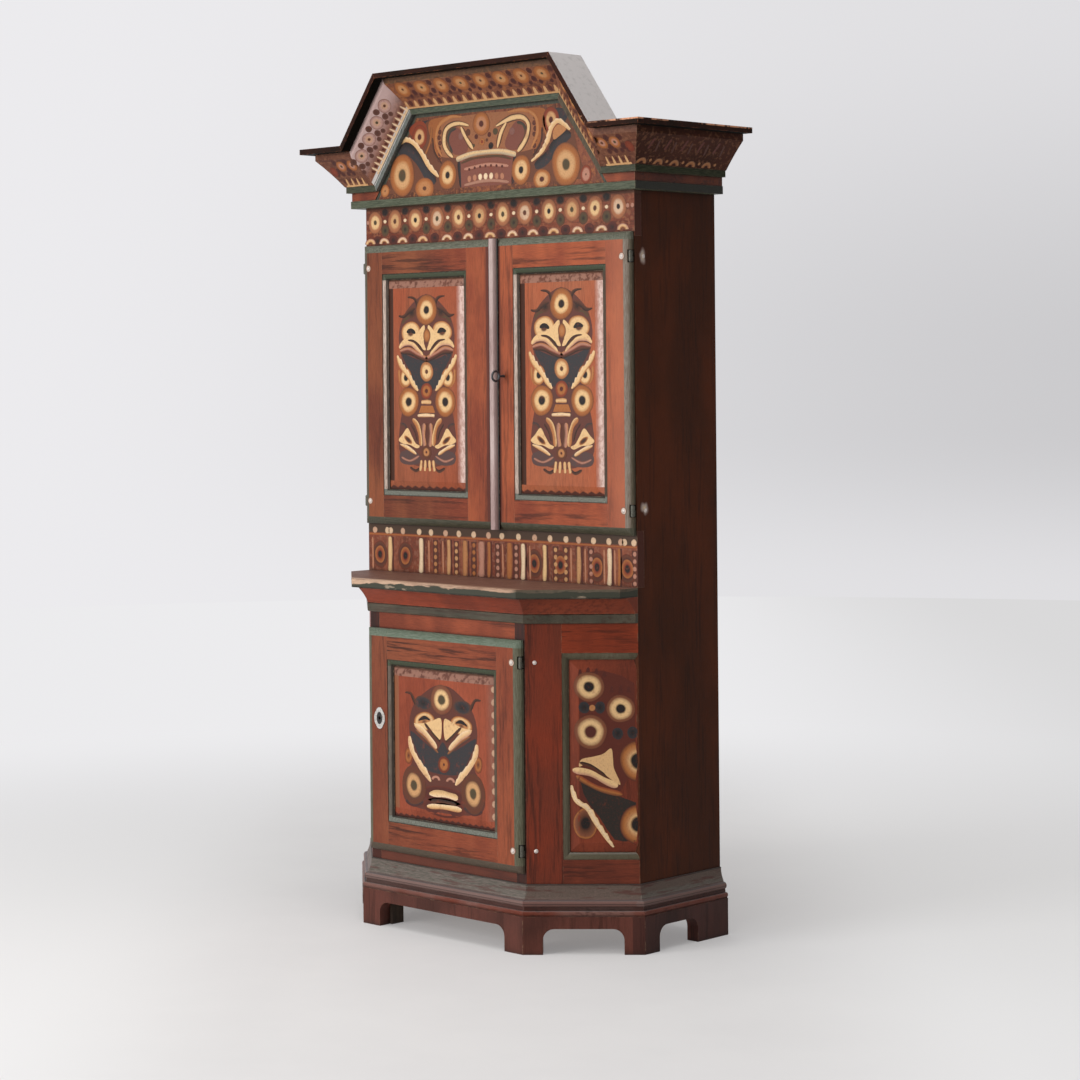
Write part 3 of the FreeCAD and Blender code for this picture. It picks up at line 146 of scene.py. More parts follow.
class Shader(Nodes):
    """A material that is built up by laying tones over one another, on self.colour."""

    def __init__(self, name):
        self.material = bpy.data.materials.new(name)
        self.material.use_nodes = True
        super().__init__(self.material.node_tree)
        self.place = self.add("TexCoord").outputs["Object"]
        self.x, self.y, self.z = self.add("SeparateXYZ", {0: self.place}).outputs

    def lay(self, share, tone, amount=1.0):
        if amount != 1.0:
            share = self.times(share, amount)
        self.colour = self.mix(share, self.colour, tone)

    def tint(self, share, tint):
        """Multiply the colour by a tint inside a zone."""
        self.lay(share, self.mix(1.0, self.colour, tint, "MULTIPLY"))

    def across(self):
        """How far left or right of the middle plane the point is."""
        return self.math("ABSOLUTE", self.x)

    def noise(self, scale, stretch=(1, 1, 1), turn=0.0, detail=4.0, rough=0.55, seed=0.0):
        spot = self.add("Mapping", {"Vector": self.place, "Location": (seed, seed * 0.7, 0.0),
                                    "Rotation": (0.0, 0.0, turn), "Scale": stretch},
                        vector_type="TEXTURE").outputs[0]
        return self.add("TexNoise", {"Vector": spot, "Scale": scale, "Detail": detail,
                                     "Roughness": rough}).outputs[0]

    def facing_up(self, low=0.5, high=0.9):
        normal = self.add("NewGeometry").outputs["Normal"]
        return self.rise(self.add("SeparateXYZ", {0: normal}).outputs[2], low, high)

    def arris(self, radius):
        """How near a sharp edge the point is, from 0 to 1."""
        soft = self.add("Bevel", {"Radius": radius}, samples=4).outputs[0]
        normal = self.add("NewGeometry").outputs["Normal"]
        return self.rise(self.dot(soft, normal), 0.985, 0.90)

    def hollow(self, distance):
        """How deep in a corner the point is, from 0 to 1, for painted shade and grime there."""
        shade = self.add("AmbientOcclusion", {"Distance": distance}, samples=4)
        return self.rise(shade.outputs["AO"], 0.80, 0.35)

    def finish(self, roughness, height, relief, metal=0.0, gloss=0.5, soften=0.0):
        bump = {"Height": height, "Distance": relief, "Strength": 1.0}
        if soften:
            bump["Normal"] = self.add("Bevel", {"Radius": soften}, samples=4).outputs[0]
        sheen = self.add("BsdfPrincipled", {
            "Base Color": self.colour, "Roughness": roughness, "Metallic": metal,
            "Specular IOR Level": gloss, "Normal": self.add("Bump", bump).outputs[0]})
        self.add("OutputMaterial", {0: sheen.outputs[0]})
        return self.material


ALONG_X = (16, 1, 1)
ALONG_Y = (1, 16, 1)
ALONG_Z = (1, 1, 16)
CANT_TURN = math.radians(41.8)


def painted(name, tones, streak=GRAINING, grain=ALONG_Z, turn=0.0, amount=0.7, zones=None,
            worn=OLD_PINE, wear=0.55, dust=0.0, rough=0.42, gloss=0.14, lie=(0.5, 0.9), raw=None,
            seed=0.0):
    """Old oil paint on softwood: brushed graining, worn arrises, grime and painted shade in the
    corners.

    tones are the two colours that the ground drifts between. zones lays other colours over
    that ground. raw gives the share of bare wood, for the faces that were never painted.
    """
    s = Shader(name)
    drift = s.noise(7.0, (1, 1, 2), turn, 3.0, seed=seed)
    s.colour = s.mix(s.rise(drift, 0.35, 0.65), *tones)
    figure = s.noise(150.0, grain, turn, 3.0, 0.6, seed + 3.1)
    bands = s.noise(30.0, grain, turn, 2.0, 0.5, seed + 7.7)
    s.lay(s.times(s.rise(figure, 0.44, 0.64), s.rise(bands, 0.40, 0.60)), streak, amount)
    s.brush = s.noise(800.0, grain, turn, 3.0, 0.7, seed + 1.3)
    s.lay(s.rise(s.brush, 0.45, 0.75), streak, 0.35)
    s.lay(s.rise(s.brush, 0.50, 0.28), scaled(tones[1], 1.5), 0.22)
    if zones:
        zones(s)
    if raw:
        s.lay(raw(s), s.mix(s.rise(figure, 0.40, 0.66), INSIDE_PINE, OLD_PINE))
    speck = s.noise(420.0, detail=5.0, rough=0.7, seed=seed + 5.0)
    s.lay(s.rise(speck, 0.62, 0.72), streak)
    # Painted shade and grime: the corners and recesses are darkened.
    s.lay(s.hollow(0.022), NEAR_BLACK, 0.85)
    rub = s.noise(60.0, detail=5.0, rough=0.7, seed=seed + 9.0)
    s.lay(s.times(s.arris(0.0022), s.rise(rub, 0.46, 0.62)), worn, wear)
    if dust:
        settled = s.math("MULTIPLY_ADD", s.rise(rub, 0.30, 0.50), 0.2, 0.8)
        s.lay(s.times(s.facing_up(*lie), settled), DUST, dust)
    shine = s.math("MULTIPLY_ADD", s.noise(25.0, detail=3.0, seed=seed), 0.22, rough - 0.11)
    bumps = s.math("MULTIPLY_ADD", speck, 0.35, s.times(s.brush, 0.65))
    return s.finish(shine, bumps, 0.00035, gloss=gloss, soften=0.0010)


def bare_wood(name, grain, tones=(BARE_PINE, OLD_PINE), board=0.0, seed=0.0):
    """Unpainted pine; board is the width of upright boards, with a dark line at each joint."""
    s = Shader(name)
    stain, gap_and_shade = (0.16, 0.10, 0.06), (0.05, 0.03, 0.02)
    fine = tuple(2.2 * stretch if stretch > 1 else 1 for stretch in grain)
    s.colour = s.mix(s.rise(s.noise(130.0, fine, 0.0, 3.0, 0.6, seed), 0.34, 0.72), *tones)
    pores = s.noise(700.0, grain, 0.0, 3.0, 0.7, seed + 2.0)
    s.lay(s.rise(pores, 0.5, 0.75), tones[1], 0.5)
    s.lay(s.rise(s.noise(5.0, detail=4.0, seed=seed + 4.0), 0.5, 0.8), stain, 0.5)
    # Painted shade in the corners; the same dark colour draws the board joints below.
    s.lay(s.hollow(0.03), gap_and_shade, 0.6)
    if board:
        s.lay(s.above(s.math("PINGPONG", s.x, 0.5 * board), 0.5 * board - 0.0013, 0.0005), gap_and_shade)
    return s.finish(0.78, pores, 0.0003, gloss=0.3, soften=0.0008)


def metal(name, base, roughness, heads=None, dark_zone=None):
    """Forged iron; heads is the lighter colour of the nail heads, where there are any."""
    s = Shader(name)
    scale = s.noise(300.0, detail=5.0, rough=0.7)
    s.colour = s.mix(s.rise(scale, 0.4, 0.7), base, scaled(base, 0.45))
    s.lay(s.rise(s.noise(90.0, detail=4.0, seed=2.0), 0.55, 0.75), (0.10, 0.045, 0.02), 0.5)
    if heads:
        s.lay(nail_heads(s), s.mix(s.rise(scale, 0.35, 0.75), heads, scaled(heads, 0.6)))
    if dark_zone:
        s.lay(dark_zone(s), NEAR_BLACK)
    return s.finish(roughness, scale, 0.00025, metal=0.35, soften=0.0006)


def brushwork(name):
    """The ornament's paint: its colour is on the shapes, uneven, rubbed and specked here."""
    s = Shader(name)
    s.colour = s.add("Attribute", attribute_name="paint").outputs["Color"]
    thin = s.noise(260.0, detail=4.0, rough=0.6, seed=2.0)
    s.lay(s.rise(thin, 0.50, 0.72), RED_BROWN, 0.35)
    s.colour = s.mix(s.times(s.rise(thin, 0.46, 0.30), 0.20), s.colour, PALE, "SOFT_LIGHT")
    speck = s.noise(500.0, detail=5.0, rough=0.75, seed=4.0)
    s.lay(s.rise(speck, 0.60, 0.70), BROWN, 0.6)
    s.lay(s.rise(s.noise(45.0, detail=6.0, rough=0.7, seed=6.0), 0.58, 0.68), RED, 0.35)
    # Painted shade in the corners.
    s.lay(s.hollow(0.022), NEAR_BLACK, 0.6)
    return s.finish(0.42, speck, 0.0003, gloss=0.14)


# --- faces that were never painted --------------------------------------------------------

def behind(s):
    """The faces that look to the back when the doors are shut."""
    normal = s.add("TexCoord").outputs["Normal"]
    return s.rise(s.add("SeparateXYZ", {0: normal}).outputs[1], 0.55, 0.75)


def inward(s):
    """The inner faces and the back edges of the side boards."""
    return s.times(s.below(s.across(), 0.4385, 0.0003), s.above(s.y, -0.0300, 0.0003))


# --- zones of other colours on one node, laid over its ground -----------------------------

# The gable's slope: its fall and run for each unit of its length, and its distance.
FALL, RUN, SLOPE_AT = 0.812, 0.584, 1.4027
# The cant's run along x and y for each unit of its length.
CANT_X, CANT_Y = 0.7457, 0.6663


def greens(s, dark=GREEN, light=GREY_GREEN):
    return s.mix(s.rise(s.brush, 0.38, 0.62), dark, light)


def busy(s, light, dark, amount):
    """Small blots and daubs under the drawn ornament, as on a much-painted board."""
    daubs = s.noise(105.0, detail=3.0, rough=0.65, seed=21.0)
    s.lay(s.rise(daubs, 0.53, 0.60), light, amount)
    s.lay(s.rise(daubs, 0.45, 0.38), dark, amount)


def beyond_slope(s, sign):
    """How far above the gable's slope the point is, square to it; sign = -1 turns it round."""
    along = s.math("MULTIPLY_ADD", s.across(), sign * FALL, -sign * SLOPE_AT)
    return s.math("MULTIPLY_ADD", s.z, sign * RUN, along)


def upper_door_lip(s):
    """The green lip round the two upper doors, except at their meeting edges, with painted light
    and shade.
    """
    side, foot, head = 0.4195, 0.9405, 1.5805
    # Painted light: the doors grow darker towards the left and warmer towards the right door's
    # outer edge.
    s.tint(s.rise(s.x, 0.30, -0.30), (0.84, 0.86, 0.88))
    s.tint(s.rise(s.x, -0.08, -0.24), (0.72, 0.86, 0.92))
    s.lay(s.rise(s.x, 0.33, 0.41), (0.42, 0.15, 0.08), 0.35)
    # Painted shadow of the astragal on the right door, and painted shade in the gap between the
    # doors.
    meeting = s.most(s.between(s.x, 0.029, 0.036, 0.002), s.between(s.x, -0.012, 0.001, 0.003))
    s.lay(meeting, MAROON, 0.85)
    s.lay(s.above(s.across(), side), greens(s, (0.055, 0.042, 0.026), (0.085, 0.072, 0.048)))
    # Painted highlight: the right door's outer lip is pale grey.
    right = s.times(s.above(s.x, side), s.below(s.x, 0.4330, 0.003))
    s.lay(right, greens(s, (0.13, 0.095, 0.070), (0.22, 0.185, 0.150)), 0.85)
    # Painted shade on the bottom lips, painted light on the top ones.
    s.lay(s.below(s.z, foot), greens(s, (0.040, 0.040, 0.026), (0.075, 0.068, 0.046)))
    s.lay(s.above(s.z, head), greens(s, (0.055, 0.058, 0.040), (0.145, 0.145, 0.110)))


def lower_door_lip(s):
    side, foot, head = 0.2315, 0.1925, 0.6755
    # Painted light: the lower door grows darker towards its left side.
    s.tint(s.rise(s.x, 0.05, -0.22), (0.80, 0.90, 0.95))
    s.lay(s.above(s.across(), side), greens(s, (0.065, 0.060, 0.036), (0.110, 0.105, 0.070)))
    # Painted shade on the bottom lip, painted light on the top one.
    s.lay(s.below(s.z, foot), greens(s, (0.060, 0.045, 0.030), (0.085, 0.062, 0.044)))
    s.lay(s.above(s.z, head), greens(s, (0.075, 0.100, 0.068), (0.140, 0.165, 0.125)))


def astragal_shading(s):
    """Pale in the middle, with painted shade browning it towards the flanks and black on them."""
    side = s.rise(s.math("ABSOLUTE", s.math("ADD", s.x, -0.0135)), 0.0045, 0.0150)
    s.lay(side, (0.085, 0.040, 0.034), 0.75)
    s.lay(s.most(s.above(s.x, 0.0275), s.below(s.x, 0.0020)), NEAR_BLACK)


def table_top(s):
    """The worn top is darker than its pale rim, and the low half of the edge is dark."""
    chips = s.noise(45.0, (4, 4, 1), detail=4.0, rough=0.7, seed=8.8)
    dark = s.mix(s.rise(chips, 0.60, 0.66), (0.040, 0.040, 0.028), (0.22, 0.17, 0.12))
    level = s.math("MULTIPLY_ADD", chips, 0.020, s.z)
    level = s.math("MULTIPLY_ADD", s.rise(s.x, -0.30, -0.16), -0.009, level)
    edge = s.mix(s.below(level, 0.803, 0.001), s.colour, dark)
    cant = s.rise(s.x, 0.245, 0.275)
    edge = s.mix(s.times(cant, 0.85), edge, dark)
    worn = s.mix(s.rise(s.brush, 0.4, 0.6), (0.105, 0.045, 0.030), (0.17, 0.085, 0.060))
    rim = s.rise(s.y, -0.214, -0.226)
    worn = s.mix(s.times(rim, s.math("SUBTRACT", 1.0, cant)), worn, s.colour)
    s.colour = s.mix(s.facing_up(), edge, worn)
    # Painted shade under the board and along the foot of its edge.
    s.lay(s.below(s.z, 0.7905, 0.001), NEAR_BLACK, 0.7)


def plinth_bands(s):
    """Worn grey-green slope, purple-brown beads, and a groove between them that is dark with
    painted shade.
    """
    bead_foot, slope_foot, top = 0.104, 0.120, 0.1495
    grey = s.mix(s.rise(s.brush, 0.35, 0.65), (0.16, 0.14, 0.12), (0.070, 0.072, 0.056))
    patches = s.noise(90.0, (9, 9, 1), detail=4.0, rough=0.65, seed=3.3)
    grey = s.mix(s.times(s.rise(patches, 0.52, 0.64), 0.8), grey, (0.085, 0.042, 0.034))
    s.lay(s.above(s.z, slope_foot), grey)
    s.lay(s.between(s.z, slope_foot, 0.1235), (0.20, 0.18, 0.155), 0.35)
    s.lay(s.between(s.z, bead_foot, 0.119), (0.150, 0.098, 0.086), 0.8)
    s.lay(s.above(s.z, top), NEAR_BLACK, 0.6)
    seams = [s.between(s.z, *ends, 0.0004) for ends in ((0.1170, 0.1195), (0.1100, 0.1115))]
    s.lay(s.most(*seams), NEAR_BLACK, 0.7)
    # Painted shade in the groove between the beads.
    s.lay(s.between(s.z, 0.096, bead_foot), NEAR_BLACK, 0.6)
    s.tint(s.above(s.z, slope_foot), (0.90, 0.82, 0.82))
    cant = s.between(s.across(), 0.256, 0.446)
    s.tint(s.times(cant, s.above(s.z, bead_foot)), (0.93, 0.78, 0.75))


def crown_band(s):
    """The band under the crown: a green strip, then a recessed red one, with dark flanks."""
    s.lay(s.below(s.z, 1.708), greens(s))
    flank = s.times(s.above(s.across(), 0.4640), s.above(s.y, -0.0545, 0.0003))
    s.lay(flank, NEAR_BLACK, 0.80)


def low_fillet(s):
    busy(s, (0.20, 0.085, 0.045), MAROON, 0.45)
    green = greens(s, (0.022, 0.026, 0.014), (0.056, 0.058, 0.034))
    flank = s.times(s.above(s.across(), 0.4765), s.above(s.y, -0.0665, 0.0003))
    green = s.mix(s.times(flank, 0.5), green, NEAR_BLACK)
    s.lay(s.below(s.z, 1.7432), green)


def ridge_fillet(s):
    busy(s, OCHRE, MAROON, 0.5)
    s.lay(s.above(s.z, 1.9755, 0.002), OLIVE, 0.5)
    s.lay(s.below(s.z, 1.9174), greens(s, (0.030, 0.042, 0.028)))


def slope_fillet(s):
    """The green fillet of the sloping lengths; the left one has a painted rosy sheen, with a pale
    line.
    """
    drop = beyond_slope(s, -1)
    left = s.below(s.x, 0.0)
    busy(s, (0.26, 0.12, 0.08), MAROON, 0.4)
    # Painted sheen: the upper part of the left slope's hollow is rosy.
    s.lay(s.times(left, s.rise(drop, 0.075, 0.030)), (0.50, 0.36, 0.34), 0.8)
    # The left fillet's paler grey greens are painted sheen.
    green = s.mix(left, greens(s, (0.036, 0.026, 0.015), (0.10, 0.075, 0.045)),
                  greens(s, (0.045, 0.050, 0.046), (0.17, 0.18, 0.165)))
    s.lay(s.above(drop, 0.0826), green)
    s.lay(s.times(left, s.between(drop, 0.0765, 0.0850, 0.0010)), (0.52, 0.49, 0.46), 0.9)


def cap_edges(s):
    """Painted shade, black, under the caps, and a light orange line along the top of the
    right-hand edges.
    """
    line_breaks = s.noise(24.0, detail=5.0, rough=0.7, seed=2.2)
    line = s.times(s.between(s.z, 1.8325, 1.8500), s.above(s.x, 0.30))
    s.lay(s.times(line, s.rise(line_breaks, 0.46, 0.56)), (0.55, 0.26, 0.15))
    # Painted shade: the caps' undersides are black.
    s.lay(s.facing_up(-0.2, -0.5), (0.003, 0.003, 0.002))


def foot_sides(s):
    """The side foot boards are darker than the front ones."""
    s.tint(s.above(s.across(), 0.4425), (0.55, 0.58, 0.62))


def end_grain(s):
    """The dark ends of the frieze and the apron."""
    s.lay(s.above(s.across(), 0.4397, 0.0002), (0.052, 0.010, 0.003))


def frieze_ground(s):
    """A painted shadow: a dark line under the crown's strip."""
    busy(s, (0.24, 0.095, 0.045), BROWN, 0.5)
    end_grain(s)
    s.lay(s.above(s.z, 1.683, 0.003), BROWN, 0.8)


def apron_ground(s):
    """A brown-green band under the doors, behind the row of dots."""
    busy(s, (0.21, 0.095, 0.060), BROWN, 0.5)
    s.lay(s.above(s.z, 0.901, 0.002), (0.055, 0.030, 0.018))
    end_grain(s)


def tympanum_ground(s):
    """A much-daubed ground with a green frame line along the rim."""
    rim = beyond_slope(s, 1)
    busy(s, OCHRE, MAROON, 0.55)
    frame_line = s.most(s.above(rim, -0.1040), s.above(s.z, 1.896))
    s.lay(frame_line, greens(s, (0.030, 0.035, 0.026), (0.07, 0.07, 0.05)))


def panel_bevels(x, z, scallop, left_tone, right_tone):
    """Bevels in other tones than the field, partly painted light, the bottom one with dark
    scallops.
    """
    left, right = x
    low, high = z
    bevel = BEVEL_WIDTH * MM

    def zones(s):
        inside = s.between(s.x, left - bevel, right + bevel)
        over = s.times(s.above(s.z, high), inside)
        under = s.times(s.below(s.z, low), inside)
        blots = s.noise(75.0, detail=3.0, rough=0.6, seed=left)
        top_tone = s.mix(s.rise(blots, 0.46, 0.60), (0.24, 0.125, 0.090), (0.085, 0.036, 0.025))
        s.lay(over, top_tone, 0.85)
        reach = s.math("MULTIPLY_ADD", s.math("PINGPONG", s.x, scallop), 0.45, 0.005)
        beyond_low = s.math("ADD", s.times(s.z, -1.0), low - 0.021)
        dark = s.above(s.math("ADD", beyond_low, reach), 0.0, 0.002)
        s.lay(s.times(dark, s.times(under, 0.9)), blend(MAROON, NEAR_BLACK, 0.5))
        s.lay(s.times(s.above(s.z, high + 0.017, 0.002), inside), BROWN)
        upright = s.between(s.z, low, high)
        # On the upper doors the dark left bevel is painted shade, and the pale right one, fading
        # in from its inner edge, is painted sheen.
        s.lay(s.times(s.below(s.x, left), upright), left_tone)
        rubbed = s.noise(150.0, (1, 1, 2), detail=4.0, rough=0.7, seed=4.4)
        tone = s.mix(s.rise(rubbed, 0.42, 0.60), right_tone, blend(right_tone, RED, 0.45))
        fade = s.math("MULTIPLY_ADD", s.rise(s.x, right + 0.002, right + 0.013), 0.85, 0.15)
        s.lay(s.times(s.times(s.above(s.x, right), upright), fade), tone)
    return zones


def low_rail(s):
    """The rail under the lower door is darker than the one above."""
    s.lay(s.below(s.z, 0.200), (0.060, 0.020, 0.014), 0.75)


def cant_rail_tones(s):
    """The upper rail of a cant is more orange, the lower one greyer."""
    s.tint(s.above(s.z, 0.60), (1.30, 1.0, 0.72))
    s.tint(s.below(s.z, 0.25), (0.84, 0.90, 0.95))


def waist_front(s):
    """The cove is lighter along the front than round the cants."""
    s.tint(s.rise(s.across(), 0.27, 0.24), (1.26, 1.12, 1.05))


def post_edges(s):
    """The narrow front strip beside the lower door is nearly black: painted shade beside the proud
    door.
    """
    s.lay(s.times(s.below(s.y, -0.1985), s.below(s.z, 0.735, 0.01)), NEAR_BLACK, 0.75)


def moulding_tones(x, z, left_tone, right_tone, top_tone, low_tone):
    """The four runs of a frame's moulding, toned by painted light, each with a dark inner edge and
    outer line.
    """
    wide, lip, inner_edge, outer_line = 0.0152, 0.0100, 0.0115, 0.0018

    def zones(s):
        # Each run's tone is painted light: paler where it faces the light, darker where it faces
        # away.
        for share, tone in ((s.below(s.x, x[0] + wide), left_tone),
                            (s.above(s.x, x[1] - wide), right_tone),
                            (s.above(s.z, z[1] - wide), top_tone),
                            (s.below(s.z, z[0] + wide), low_tone)):
            s.lay(share, s.mix(s.rise(s.brush, 0.40, 0.62), blend(tone, GRAINING, 0.55), tone))
        # The dark inner edge is painted shadow.
        inner = s.times(s.between(s.x, x[0] + lip, x[1] - inner_edge),
                        s.between(s.z, z[0] + inner_edge, z[1] - inner_edge))
        body = s.times(*(s.between(axis, ends[0] + outer_line, ends[1] - outer_line)
                         for axis, ends in ((s.x, x), (s.z, z))))
        line = s.most(inner, s.math("SUBTRACT", 1.0, body))
        s.lay(line, (0.020, 0.014, 0.010), 0.85)
    return zones


# --- light and dark zones of the ironwork -------------------------------------------------

def nail_heads(s):
    """What stands proud of the doors, of the sides and of the posts' cant faces."""
    upper = s.times(s.above(s.z, 0.85), s.below(s.y, -0.0480, 0.0001))
    lower = s.below(s.y, -0.2161, 0.0001)
    side = s.times(s.above(s.across(), 0.4402, 0.0001), s.above(s.y, -0.02))
    cant = s.math("MULTIPLY_ADD", s.across(), CANT_Y, -0.31628)
    cant = s.math("MULTIPLY_ADD", s.y, -CANT_X, cant)
    cant = s.times(s.above(cant, 0.0003, 0.0001), s.above(s.y, -0.195))
    return s.most(s.most(upper, lower), s.most(side, s.times(cant, s.below(s.z, 0.80))))


def keyhole_shade(s):
    """The dark middle of the escutcheon."""
    middle, half = (0.205, -0.484), (0.0095, 0.0145)
    u = s.times(s.math("ADD", s.x, middle[0]), 1 / half[0])
    v = s.times(s.math("ADD", s.z, middle[1]), 1 / half[1])
    return s.rise(s.math("ADD", s.times(u, u), s.times(v, v)), 1.15, 0.85)


# --- the finish of every node -------------------------------------------------------------

def coat(nodes, finish):
    for node in nodes.split():
        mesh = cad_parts[node].data
        mesh.materials.clear()
        mesh.materials.append(finish)


# Lit and shaded tones of the green mouldings' runs: painted light.
PALE_GREY = (0.50, 0.39, 0.32)
OLIVE_BROWN = (0.062, 0.047, 0.030)
TEAL = (0.155, 0.170, 0.140)
DARK_GREEN = (0.046, 0.068, 0.040)


def coat_doors():
    red = (RED, ORANGE_RED)
    coat("upper_left_door_rails upper_right_door_rails",
         painted("door_rails", red, grain=ALONG_X, zones=upper_door_lip, raw=behind, seed=1.0))
    coat("upper_left_door_stiles upper_right_door_stiles",
         painted("door_stiles", red, zones=upper_door_lip, amount=0.5, raw=behind, seed=2.0))
    low_red = ((0.175, 0.037, 0.016), (0.235, 0.058, 0.024))
    coat("lower_door_rails", painted("low_rails", low_red, grain=ALONG_X, amount=0.85,
                                     zones=lower_door_lip, raw=behind, seed=3.0))
    coat("lower_door_stiles", painted("low_stiles", low_red, zones=lower_door_lip, amount=0.6,
                                      raw=behind, seed=4.0))
    # The left door's darker tones are painted light, falling off towards the left.
    for side, panel, frame_x, tones in (
            ("right", (0.1125, 0.331), (0.0765, 0.367), (ORANGE_RED, (0.30, 0.090, 0.040))),
            ("left", (-0.331, -0.1125), (-0.367, -0.0765),
             ((0.26, 0.058, 0.023), (0.25, 0.070, 0.031)))):
        # Painted shade on the left bevels, painted sheen on the right ones.
        zones = panel_bevels(panel, (1.029, 1.492), 0.0125, (0.045, 0.016, 0.009),
                             (0.60, 0.43, 0.37))
        coat(f"upper_{side}_door_panel", painted("panel_" + side, tones, amount=0.30, zones=zones,
                                                 raw=behind, seed=5.0))
        zones = moulding_tones(frame_x, (0.993, 1.528), PALE_GREY, OLIVE_BROWN, DARK_GREEN, TEAL)
        coat(f"upper_{side}_door_mouldings",
             painted("moulding_" + side, (GREEN, GREY_GREEN), amount=0.3, zones=zones, seed=6.0))
    zones = panel_bevels((-0.143, 0.143), (0.281, 0.587), 0.0095, (0.21, 0.075, 0.035),
                         (0.22, 0.080, 0.050))
    coat("lower_door_panel", painted("panel_low", (RED, (0.27, 0.060, 0.027)), amount=0.30,
                                     zones=zones, raw=behind, seed=5.4))
    # Lit and shaded tones of the moulding runs: painted light.
    zones = moulding_tones((-0.179, 0.179), (0.245, 0.623), (0.125, 0.105, 0.080),
                           (0.085, 0.066, 0.042), DARK_GREEN, TEAL)
    coat("lower_door_mouldings",
         painted("moulding_low", (GREEN, GREY_GREEN), amount=0.3, zones=zones, seed=6.1))
    coat("astragal", painted("astragal", ((0.30, 0.205, 0.19), (0.46, 0.36, 0.335)), amount=0.5,
                             zones=astragal_shading, seed=18.0))


def coat_lower_part():
    coat("cant_panel_right cant_panel_left",
         painted("panel_cant", (RED_BROWN, RED), amount=0.35, raw=behind, seed=5.8))
    coat("cant_mouldings", painted("olive", ((0.070, 0.060, 0.036), (0.105, 0.092, 0.060)),
                                   amount=0.3, seed=6.2, dust=0.3))
    coat("waist_fillet", painted("green_x", ((0.040, 0.038, 0.026), (0.080, 0.068, 0.048)),
                                 grain=ALONG_X, amount=0.5, seed=6.5))
    coat("lower_rails", painted("frame_x", ((0.15, 0.031, 0.014), (0.26, 0.058, 0.024)),
                                grain=ALONG_X, zones=low_rail, seed=7.0))
    coat("waist_cove", painted("waist", (RED_BROWN, RED), grain=ALONG_X, amount=0.45,
                               zones=waist_front, seed=7.4))
    coat("corner_post_left corner_post_right",
         painted("frame_z", (RED_BROWN, (0.17, 0.026, 0.010)), zones=post_edges, seed=8.0))
    coat("cant_rails", painted("cant_x", (RED_BROWN, RED), grain=ALONG_X, turn=CANT_TURN,
                               zones=cant_rail_tones, seed=9.0))
    coat("side_board_left side_board_right",
         painted("side", (SIDE_BROWN, SIDE_RED), (0.020, 0.008, 0.005), amount=0.6, wear=0.25,
                 rough=0.45, gloss=0.06, raw=inward, seed=13.0))
    coat("plinth_moulding",
         painted("plinth", (RED_BROWN, (0.145, 0.068, 0.054)), grain=ALONG_X, zones=plinth_bands,
                 dust=0.12, wear=0.3, worn=(0.15, 0.11, 0.09), seed=14.0))
    coat("foot_board_front foot_boards_cant foot_boards_side",
         painted("feet", ((0.050, 0.016, 0.011), (0.105, 0.032, 0.022)), wear=0.6,
                 zones=foot_sides, seed=15.0))
    coat("table_board", painted("table", ((0.31, 0.185, 0.125), (0.48, 0.32, 0.22)),
                                grain=ALONG_X, zones=table_top, rough=0.55, seed=17.0))


def coat_cornice():
    ground = (RED_BROWN, (0.22, 0.062, 0.030))
    coat("frieze_board", painted("frieze", ground, grain=ALONG_X, amount=0.5, zones=frieze_ground,
                                 raw=behind, seed=10.0))
    coat("apron_board", painted("apron", ground, amount=0.6, zones=apron_ground, raw=behind,
                                seed=10.4))
    coat("gable_board", painted("tympanum", (BROWN, (0.20, 0.060, 0.030)), amount=0.5,
                                zones=tympanum_ground, raw=behind, seed=10.8))
    cove = ((0.13, 0.042, 0.022), (0.20, 0.072, 0.036))
    coat("cove_ridge", painted("cove_ridge", cove, grain=ALONG_X, amount=0.5, zones=ridge_fillet,
                               seed=11.0))
    coat("cove_slopes", painted("cove_slopes", cove, amount=0.5, zones=slope_fillet, seed=11.3))
    coat("cove_lows", painted("cove_lows", ((0.105, 0.036, 0.019), (0.16, 0.060, 0.030)),
                              grain=ALONG_X, amount=0.5, zones=low_fillet, seed=11.6))
    coat("cove_returns", painted("cove_returns", ((0.036, 0.011, 0.005), (0.060, 0.018, 0.009)),
                                 grain=ALONG_Y, amount=0.6, zones=low_fillet, gloss=0.04,
                                 seed=11.8))
    coat("cornice_band", painted("band", (RED_BROWN, ORANGE_RED), grain=ALONG_X, zones=crown_band,
                                 seed=12.0))
    coat("cap_ridge cap_slopes cap_lows cap_returns",
         painted("cap", ((0.009, 0.005, 0.003), (0.024, 0.008, 0.005)), grain=ALONG_X, dust=1.0,
                 rough=0.6, gloss=0.05, lie=(0.2, 0.45), zones=cap_edges, wear=0.8,
                 worn=(0.26, 0.085, 0.04), seed=16.0))


